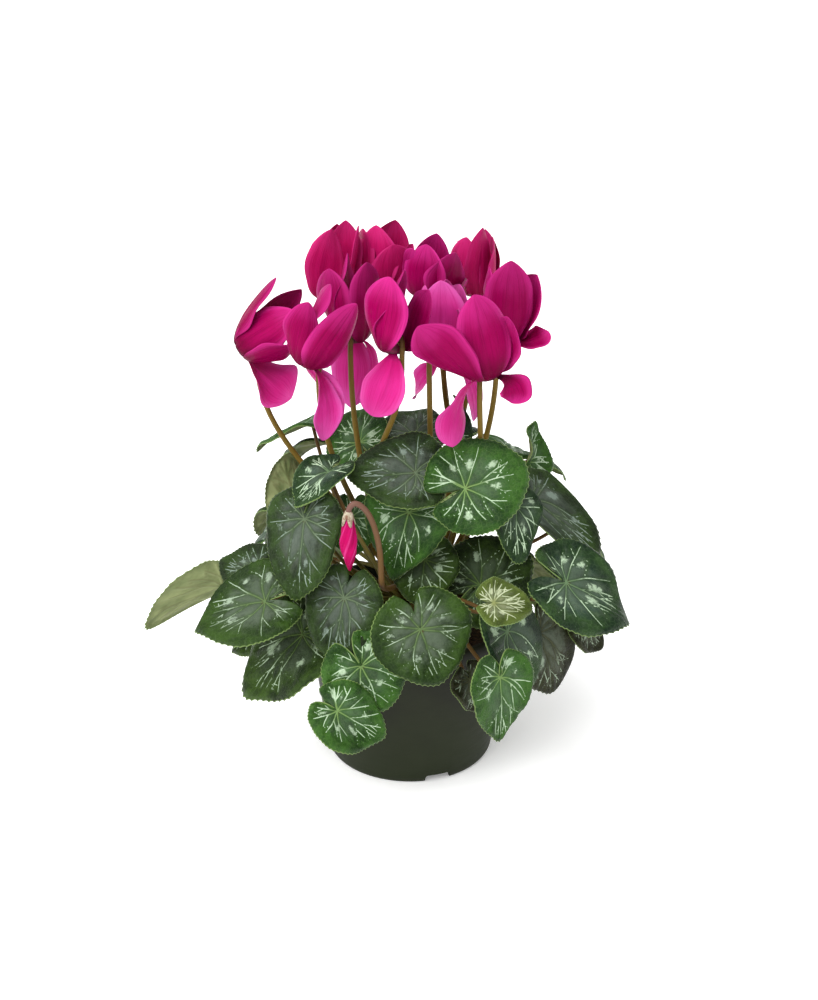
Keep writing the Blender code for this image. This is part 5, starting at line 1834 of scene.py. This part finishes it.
    def hook(self, bloom: Bloom, out: float, turn: float, swing: float) -> Points:
        """The end of a pedicel: up beside the tube, over and down to the calyx.

        Args:
            bloom: the bloom it carries.
            out: distance from the tube's axis in millimetres.
            turn: degrees from the middle of the gap between petals.
            swing: how far its foot stands off, in millimetres.

        Returns:
            Seven points, the lowest first.
        """
        places = (
            (out + swing, -1.0), (out - 0.2 + 0.4 * swing, 6.0), (out - 1.8, 11.0), (4.0, 14.6), (0.7, 14.4),
            (0.0, bloom.TUBE_HEIGHT + 2.2),
        )
        angle = math.radians(turn)
        hook = [bloom.world(far * math.cos(angle), far * math.sin(angle), height) for far, height in places]
        inward = -Vector((bloom.mouth.x, bloom.mouth.y, 0)).normalized()
        below = hook[0] + (inward * 0.05 * swing + Vector((0, 0, -1))) * (8 + swing) * MM
        return [below] + hook

    def pedicel(self, bloom: Bloom) -> tuple[Points, Points]:
        """Points of a flower stalk's long lower part and of its hook.

        Args:
            bloom: the bloom.

        Returns:
            The points of both, the crown's end first.
        """
        swings = (0.0, 3.0, 6.0) if bloom.frame.col[2].z > self.UPRIGHT else (8.0, 5.0, 2.0, 0.0)
        hooks = [
            self.hook(bloom, out, turn, swing)
            for swing, out, turn in product(swings, (8.4, 9.4, 10.4), (0, 8, -8, 16, -16, 24, -24))
        ]
        hook = min(hooks, key=lambda points: self.misfit(points, self.FITTED_HOOK))
        ahead, side, start = self.heading(hook[0], self.PEDICEL_START, self.PEDICEL_RING)
        span = (hook[0] - start).length
        down = (hook[0] - hook[1]).normalized()
        fall = (down * 0.4 + Vector((0, 0, -1))).normalized()
        routes = []
        for drop, hand, lift, swing in product(
                (0.3, 0.15, 0.45), (0.45, 0.65, 0.3), (66, 78, 90, 54, 102, 42),
                (0, 0.2, -0.2, 0.4, -0.4, 0.7, -0.7)):
            way = self.leaving(ahead, side, lift, swing)
            routes.append((start, start + way * span * hand, hook[0] + fall * span * drop, hook[0]))
        return self.best_route(bloom.name, routes, self.PEDICEL_SHARES, self.FITTED_PEDICEL, 24), hook[1:]

    def bud_route(self) -> tuple[Points, Points]:
        """The bud's stalk, its lower part and its hook.

        Returns:
            The points of both.
        """
        top = vec(self.bud.top)
        hook = [top + vec(step) for step in self.bud.hook]
        start = vec((0, -6, self.PEDICEL_START))
        low = cubic(start, start + vec((0, -30, 50)), hook[0] + vec((1, 12, -24)), hook[0], spread(24))
        return low, hook[1:]

    def hooked(self, low: Points, hook: Points) -> Points:
        """A lower part and its hook as one route, with the hook's corners rounded.

        Args:
            low: the lower part's points.
            hook: the hook's points.

        Returns:
            The route.
        """
        points = low[-1:] + hook
        for _ in range(2):
            finer = [points[0]]
            for start, end in zip(points, points[1:]):
                finer += [start.lerp(end, 0.25), start.lerp(end, 0.75)]
            points = finer + [points[-1]]
        return low + points[1:]

    def stalks(self, name: str, routes: Sequence[Points], radii: tuple, finish: Material,
               sides: int) -> Item:
        """Round stalks along routes.

        Args:
            name: the mesh's name.
            routes: the points of each stalk.
            radii: its first and last radius in millimetres.
            finish: their material.
            sides: sides of its section.

        Returns:
            The stalks.
        """
        first, last = radii
        paths, centres, values = [], [], []
        for index, points in enumerate(routes):
            shares = spread(len(points))
            paths.append([(p, (first + (last - first) * share) * MM) for p, share in zip(points, shares)])
            centres += points
            values += [(share, index * 2.1, index * 4.7) for share in shares]
        mesh = strands(name, paths, sides)
        set_attribute(mesh, "run", *nearest_values(mesh, centres, values).T)
        return add_object(mesh, finish)

    def lobe(self, angle: Array) -> Array:
        """How far five sepals reach at an angle, 1 at a sepal's point."""
        return np.abs(np.cos(self.LOBES * angle)) ** 1.5

    def calyx(self, bloom: Bloom, finish: Material) -> Item:
        """Five pointed sepals round the top of the tube.

        Args:
            bloom: the bloom.
            finish: their material.

        Returns:
            The sepals.
        """
        mesh = turned(bloom.name + "_calyx", self.CALYX_PROFILE, 40)
        places = coordinates(mesh)
        out, angle = around(places)
        lobe = self.lobe(angle)
        low = smooth_step(9.4 * MM, 6.6 * MM, places[:, 2])
        places[:, 2] += low * (2.1 - 3.4 * lobe) * MM * (out > 4.6 * MM)
        places[:, :2] *= (1 + 0.05 * low * lobe)[:, None]
        bloom.settle(mesh, places)
        return add_object(mesh, finish)

    def bud_calyx(self, finish: Material) -> Item:
        """Five narrow sepals over the bud's shoulder.

        Args:
            finish: their material.

        Returns:
            The sepals.
        """
        mesh = turned("bud_calyx", self.BUD_CALYX_PROFILE, 40)
        places = coordinates(mesh)
        out, angle = around(places)
        lobe = self.lobe(angle)
        low = smooth_step(0.4 * MM, -1.9 * MM, places[:, 2]) * (out > 3.2 * MM)
        places[:, 2] += low * (1.2 - 6.0 * lobe) * MM
        places[:, :2] *= (1 + 0.36 * low * lobe)[:, None]
        place_vertices(mesh, places + np.array(self.bud.shoulder()))
        return add_object(mesh, finish)

    def crown(self, finish: Material) -> Item:
        """The knobbly short crown on the tuber.

        Args:
            finish: its material.

        Returns:
            The crown.
        """
        mesh = turned("crown", self.CROWN_PROFILE, 48)
        places = coordinates(mesh)
        _, angle = around(places)
        knobs = 1 + 0.05 * np.sin(7 * angle) + 0.04 * np.sin(11 * angle + places[:, 2] / MM)
        places[:, :2] *= knobs[:, None]
        place_vertices(mesh, places)
        return add_object(mesh, finish)

    def build(self) -> None:
        """Make the piece that stands for the frame's stems."""
        leaf_stalk, flower_stalk, bud_stalk = (finish.make() for finish in (PETIOLES, PEDICELS, BUD_STALK))
        calyx, bud_calyx = SEPALS.make(), BUD_SEPALS.make()
        petioles = [self.petiole(leaf) for leaf in self.leaves]
        pedicels = [self.hooked(*self.pedicel(bloom)) for bloom in self.blooms]
        parts = [
            self.stalks("petioles", petioles, self.PETIOLE_RADII, leaf_stalk, 8),
            self.stalks("pedicels", pedicels, self.PEDICEL_RADII, flower_stalk, 12),
            self.stalks("bud_stalk", [self.hooked(*self.bud_route())], self.BUD_RADII, bud_stalk, 12),
            self.crown(leaf_stalk), self.bud_calyx(bud_calyx),
        ]
        parts += [self.calyx(bloom, calyx) for bloom in self.blooms]
        dress(join("stems_fine", parts), "stems")


@dataclass
class Pot:
    """The round nursery pot, in millimetres."""

    height: float = 112.0
    foot: float = 59.0
    rim: float = 76.0
    wall: float = 1.6
    floor: float = 6.0
    corner: float = 9.6
    lip: float = 12.5
    overhang: float = 3.4
    ledge: float = 4.0
    round_top: float = 1.2
    notch: tuple = (14.0, 19.0, 5.6)
    notch_ring: float = 56.0
    notch_headings: tuple = (-70.0, 50.0, 170.0)
    notch_corner: float = 2.0
    drain: float = 4.5
    drain_ring: float = 34.0
    drain_depth: float = 10.0
    drains: int = 4
    sides: int = 144
    sharp_from: float = 32.0

    def wall_radius(self, height: float) -> float:
        """Outer radius of the tapered wall at a height."""
        return self.foot + (self.rim - self.overhang - self.foot) / (self.height - self.lip) * height

    def profile(self) -> list[tuple[float, float]]:
        """The wall's section from the floor's underside round the lip to the floor's top.

        Returns:
            Points (radius, height), from the axis back to it.
        """
        foot, rim, top, lip = self.foot, self.rim, self.height, self.height - self.lip
        under = top - self.ledge
        low_in = self.wall_radius(self.corner) - self.wall
        top_in = self.wall_radius(top - self.round_top) - self.wall
        base = [
            (0.0, self.floor), (foot - 5.6, self.floor), (foot - 5.2, self.floor - 0.6), (foot - 4.6, 0.4),
            (foot - 4.2, 0.0), (foot - 2.6, 0.0), (foot - 1.5, 0.4), (foot - 0.8, 1.2), (foot, 2.6),
            (foot + 0.4, 4.0),
        ]
        side = [(self.wall_radius(height), height) for height in (40.0, 75.0, under)]
        rolled = [
            (rim - 2.3, under), (rim - 2.5, lip + 0.3), (rim - 2.2, lip), (rim - 1.2, lip),
            (rim - 0.9, lip + 0.4), (rim - 0.3, top - 6.0), (rim, top - 2.5), (rim - 0.3, top - 0.8),
            (rim - 1.0, top),
        ]
        inside = [
            (top_in + 0.8, top), (top_in + 0.2, top - 0.4), (top_in, top - self.round_top),
            (low_in, self.corner), (low_in - 0.8, self.corner - 1.2), (low_in - 2.4, self.floor + self.wall),
            (0.0, self.floor + self.wall),
        ]
        return base + side + rolled + inside

    def notch_cutter(self, heading: float) -> Work:
        """A block with round top corners, at a heading in the foot.

        Args:
            heading: degrees about the axis.

        Returns:
            The block.
        """
        depth, width, height = self.notch
        work = bmesh.new()
        bmesh.ops.create_cube(work, size=1.0)
        bmesh.ops.scale(work, vec=vec((depth, width, height * 2)), verts=work.verts)
        edges = [e for e in work.edges if abs((e.verts[0].co - e.verts[1].co).normalized().x) > 0.9]
        bmesh.ops.bevel(work, geom=edges, offset=self.notch_corner * MM, segments=5, affect="EDGES",
                        profile=0.5, material=-1)
        out = Matrix.Translation(vec((self.notch_ring, 0, 0)))
        turn = Matrix.Rotation(math.radians(heading), 4, "Z")
        bmesh.ops.transform(work, matrix=turn @ out, verts=work.verts)
        return work

    def drain_cutter(self, index: int) -> Work:
        """A round plug through the floor.

        Args:
            index: which drain hole.

        Returns:
            The plug.
        """
        work = bmesh.new()
        bmesh.ops.create_cone(work, cap_ends=True, segments=32, radius1=self.drain * MM,
                              radius2=self.drain * MM, depth=self.drain_depth * MM)
        angle = 2 * math.pi * (index + 0.5) / self.drains
        place = (self.drain_ring * math.cos(angle), self.drain_ring * math.sin(angle), self.floor)
        bmesh.ops.translate(work, vec=vec(place), verts=work.verts)
        return work

    def cut(self, item: Item, work: Work) -> None:
        """Take a cutter out of the pot.

        Args:
            item: the pot.
            work: the cutter.
        """
        bmesh.ops.recalc_face_normals(work, faces=work.faces)
        cutter = new_object("cutter", new_mesh(work, "cutter"))
        taken = item.modifiers.new("cut", "BOOLEAN")
        taken.operation = "DIFFERENCE"
        taken.solver = "EXACT"
        taken.object = cutter
        baked = shaped_mesh(item)
        item.modifiers.clear()
        item.data = baked
        bpy.data.objects.remove(cutter)

    def build(self) -> None:
        """Make the pot's piece."""
        item = add_object(turned("pot", self.profile(), self.sides), PotFinish().make())
        for heading in self.notch_headings:
            self.cut(item, self.notch_cutter(heading))
        for index in range(self.drains):
            self.cut(item, self.drain_cutter(index))
        item.data.shade_smooth()
        item.data.set_sharp_from_angle(angle=math.radians(self.sharp_from))
        item.name = "pot_fine"
        dress(item, "pot")


@dataclass
class Soil:
    """Potting soil with crumbs and bark, round the tuber; millimetres."""

    clearance: float = 0.35
    level: float = 100.2
    edge_level: float = 98.5
    swell: float = 0.7
    rings: int = 15
    pocket: tuple = ((22.35, 97.0), (19.75, 90.8), (12.0, 86.05), (0.0, 84.25))
    pocket_rim: float = 24.4
    roughness: float = 0.9
    crumbs: int = 260
    crumb_sizes: tuple = (0.6, 1.9)
    crumb_start: float = 25.0
    steps: int = 160

    def build(self, pot: Pot) -> None:
        """Make the soil's piece.

        Args:
            pot: the pot that it fills.
        """
        inside = pot.wall + self.clearance
        low = pot.wall_radius(pot.corner) - inside
        high = pot.wall_radius(self.edge_level) - inside
        ring = (high - self.pocket_rim) / (self.rings - 1)
        surface = [
            (high - 3 - index * ring, self.level + self.swell * math.sin(index * 1.3))
            for index in range(self.rings)
        ]
        profile = [
            (0.0, pot.floor + inside), (low - 3.2, pot.floor + inside), (low, pot.corner + 0.4),
            (high, self.edge_level), *surface, *self.pocket,
        ]
        mesh = turned("soil", profile, self.steps)
        rng = np.random.default_rng(SEED)
        places = coordinates(mesh)
        out, _ = around(places)
        on_top = (places[:, 2] > 99 * MM) & (out < (high - 1) * MM)
        places[:, 2] += on_top * rng.uniform(-self.roughness, self.roughness, len(places)) * MM
        place_vertices(mesh, places)
        finish = PEAT.make()
        parts = [add_object(mesh, finish), add_object(self.loose(high - 4), finish)]
        dress(join("soil_fine", parts), "soil")

    def loose(self, reach: float) -> Mesh:
        """Crumbs and bits of bark lying on the soil.

        Args:
            reach: how far from the axis they lie, in millimetres.

        Returns:
            The mesh.
        """
        rng = random.Random(SEED)
        work = bmesh.new()
        for _ in range(self.crumbs):
            angle, out = rng.uniform(0, 2 * math.pi), rng.uniform(self.crumb_start, reach)
            size = rng.uniform(*self.crumb_sizes)
            made = bmesh.ops.create_icosphere(work, subdivisions=1, radius=size * MM)["verts"]
            bmesh.ops.scale(work, vec=(1, rng.uniform(0.4, 1), rng.uniform(0.35, 0.8)), verts=made)
            spin = Matrix.Rotation(rng.uniform(0, 6.3), 3, "Z")
            tilt = Matrix.Rotation(rng.uniform(-0.7, 0.7), 3, "X")
            bmesh.ops.rotate(work, cent=(0, 0, 0), matrix=spin @ tilt, verts=made)
            place = (out * math.cos(angle), out * math.sin(angle), 100.6 + 0.3 * size)
            bmesh.ops.translate(work, vec=vec(place), verts=made)
        return new_mesh(work, "crumbs")


@dataclass
class Tuber:
    """The corky flattened tuber, in millimetres."""

    profile: tuple = (
        (0.0, 84.6), (6.0, 85.0), (12.0, 86.4), (16.6, 88.6), (19.4, 91.0), (21.2, 93.8), (22.0, 97.0),
        (21.6, 100.0), (20.4, 102.4), (17.6, 105.2), (14.0, 106.8), (11.5, 107.6), (9.0, 108.0),
        (4.0, 108.0), (0.0, 108.0),
    )
    sides: int = 64

    def build(self) -> None:
        """Make the tuber's piece."""
        mesh = turned("tuber", self.profile, self.sides)
        places = coordinates(mesh)
        _, angle = around(places)
        furrows = 0.025 * np.abs(np.sin(5 * angle + places[:, 2] * 300))
        bark = 1 - furrows - 0.012 * np.abs(np.sin(17 * angle))
        places[:, :2] *= bark[:, None]
        place_vertices(mesh, places)
        dress(named("tuber_fine", add_object(mesh, CORK.make())), "tuber")


@dataclass
class Studio:
    """Pale floor, soft light and the camera at the photograph's viewpoint."""

    floor_size: float = 14.0
    floor_glow: float = 0.22
    floor_tones: tuple = ((0.93, 0.93, 0.93, 1.0), (0.95, 0.95, 0.95, 1.0))
    white: tuple = (1.0, 1.0, 1.0, 1.0)
    world_strength: float = 0.84
    sun_strength: float = 3.35
    sun_place: tuple = (-0.6, -0.65, 1.6)
    sun_angle: float = 62.0
    key_place: tuple = (-0.9, -1.3, 1.5)
    key_size: float = 0.6
    key_watts: float = 11.0

    def floor(self) -> None:
        """The plain floor, which glows a little so that it stays white in the plant's shade."""
        work = bmesh.new()
        bmesh.ops.create_grid(work, x_segments=1, y_segments=1, size=self.floor_size / 2)
        graph = Graph("floor_white")
        colour = graph.mix(graph.noise(graph.places(), 0.8, 2.0), *self.floor_tones)
        graph.shader.inputs["Emission Color"].default_value = self.white
        graph.shader.inputs["Emission Strength"].default_value = self.floor_glow
        add_object(new_mesh(work, "floor"), graph.finish(colour, 0.9, 0.1))

    def aim(self, item: Item, way: Vector) -> None:
        """Turn a lamp or the camera to look along a way."""
        item.rotation_euler = way.to_track_quat("-Z", "Y").to_euler()

    def key(self) -> None:
        """One soft lamp that faces the plant."""
        lamp = bpy.data.lights.new("key", "AREA")
        lamp.shape = "DISK"
        lamp.size = self.key_size
        lamp.energy = self.key_watts
        item = new_object("key", lamp)
        item.location = self.key_place
        self.aim(item, CAMERA_TARGET - Vector(self.key_place))

    def sun(self) -> None:
        """A broad even light from above, as from a large softbox."""
        lamp = bpy.data.lights.new("softbox", "SUN")
        lamp.energy = self.sun_strength
        lamp.angle = math.radians(self.sun_angle)
        self.aim(new_object("softbox", lamp), -Vector(self.sun_place))

    def camera(self) -> None:
        """The camera, on the photograph's axis."""
        lens = bpy.data.cameras.new("camera")
        lens.sensor_fit = "VERTICAL"
        lens.sensor_height = SENSOR
        lens.lens = SENSOR / (METRES_PER_PIXEL * IMAGE_HEIGHT / CAMERA_DISTANCE)
        item = new_object("camera", lens)
        lift = math.radians(CAMERA_ELEVATION)
        away = Vector((0, -math.cos(lift), math.sin(lift))) * CAMERA_DISTANCE
        item.location = CAMERA_TARGET + away
        self.aim(item, -away)
        bpy.context.scene.camera = item

    def build(self) -> None:
        """Set the whole stage."""
        self.floor()
        self.sun()
        self.key()
        self.camera()
        world = bpy.data.worlds.new("studio")
        world.use_nodes = True
        back = world.node_tree.nodes["Background"]
        back.inputs["Color"].default_value = self.white
        back.inputs["Strength"].default_value = self.world_strength
        scene = bpy.context.scene
        scene.world = world
        scene.view_settings.view_transform = "Standard"
        scene.view_settings.look = "None"


def write_size() -> None:
    """Bring every object's evaluated place up to date."""
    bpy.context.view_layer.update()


def main() -> None:
    """Dress the frame."""
    for item in list(bpy.data.objects):
        bpy.data.objects.remove(item)
    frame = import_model()
    write_size()
    leaves = [Leaf(row, index) for index, row in enumerate(LEAVES)]
    blooms = [Bloom(row, index) for index, row in enumerate(BLOOMS)]
    bud, pot = Bud(), Pot()
    blade = BladeTemplate()
    leaf_finishes = {
        tone: (finish.top(), finish.lower(), finish.veins()) for tone, finish in LEAF_FINISHES.items()
    }
    for leaf in leaves:
        leaf.build(blade, leaf_finishes)
    petal_finishes = {tone: finish.make() for tone, finish in PETAL_FINISHES.items()}
    grid, throat, style = petal_template(), THROAT.make(), STYLE.make()
    for bloom in blooms:
        bloom.build(grid, petal_finishes, throat, style)
    bud.build(petal_finishes[PetalTone.BUD])
    Stems(frame["nodes"], leaves, blooms, bud).build()
    pot.build()
    Soil().build(pot)
    Tuber().build()
    Studio().build()
    write_size()


if __name__ == "__main__":
    main()
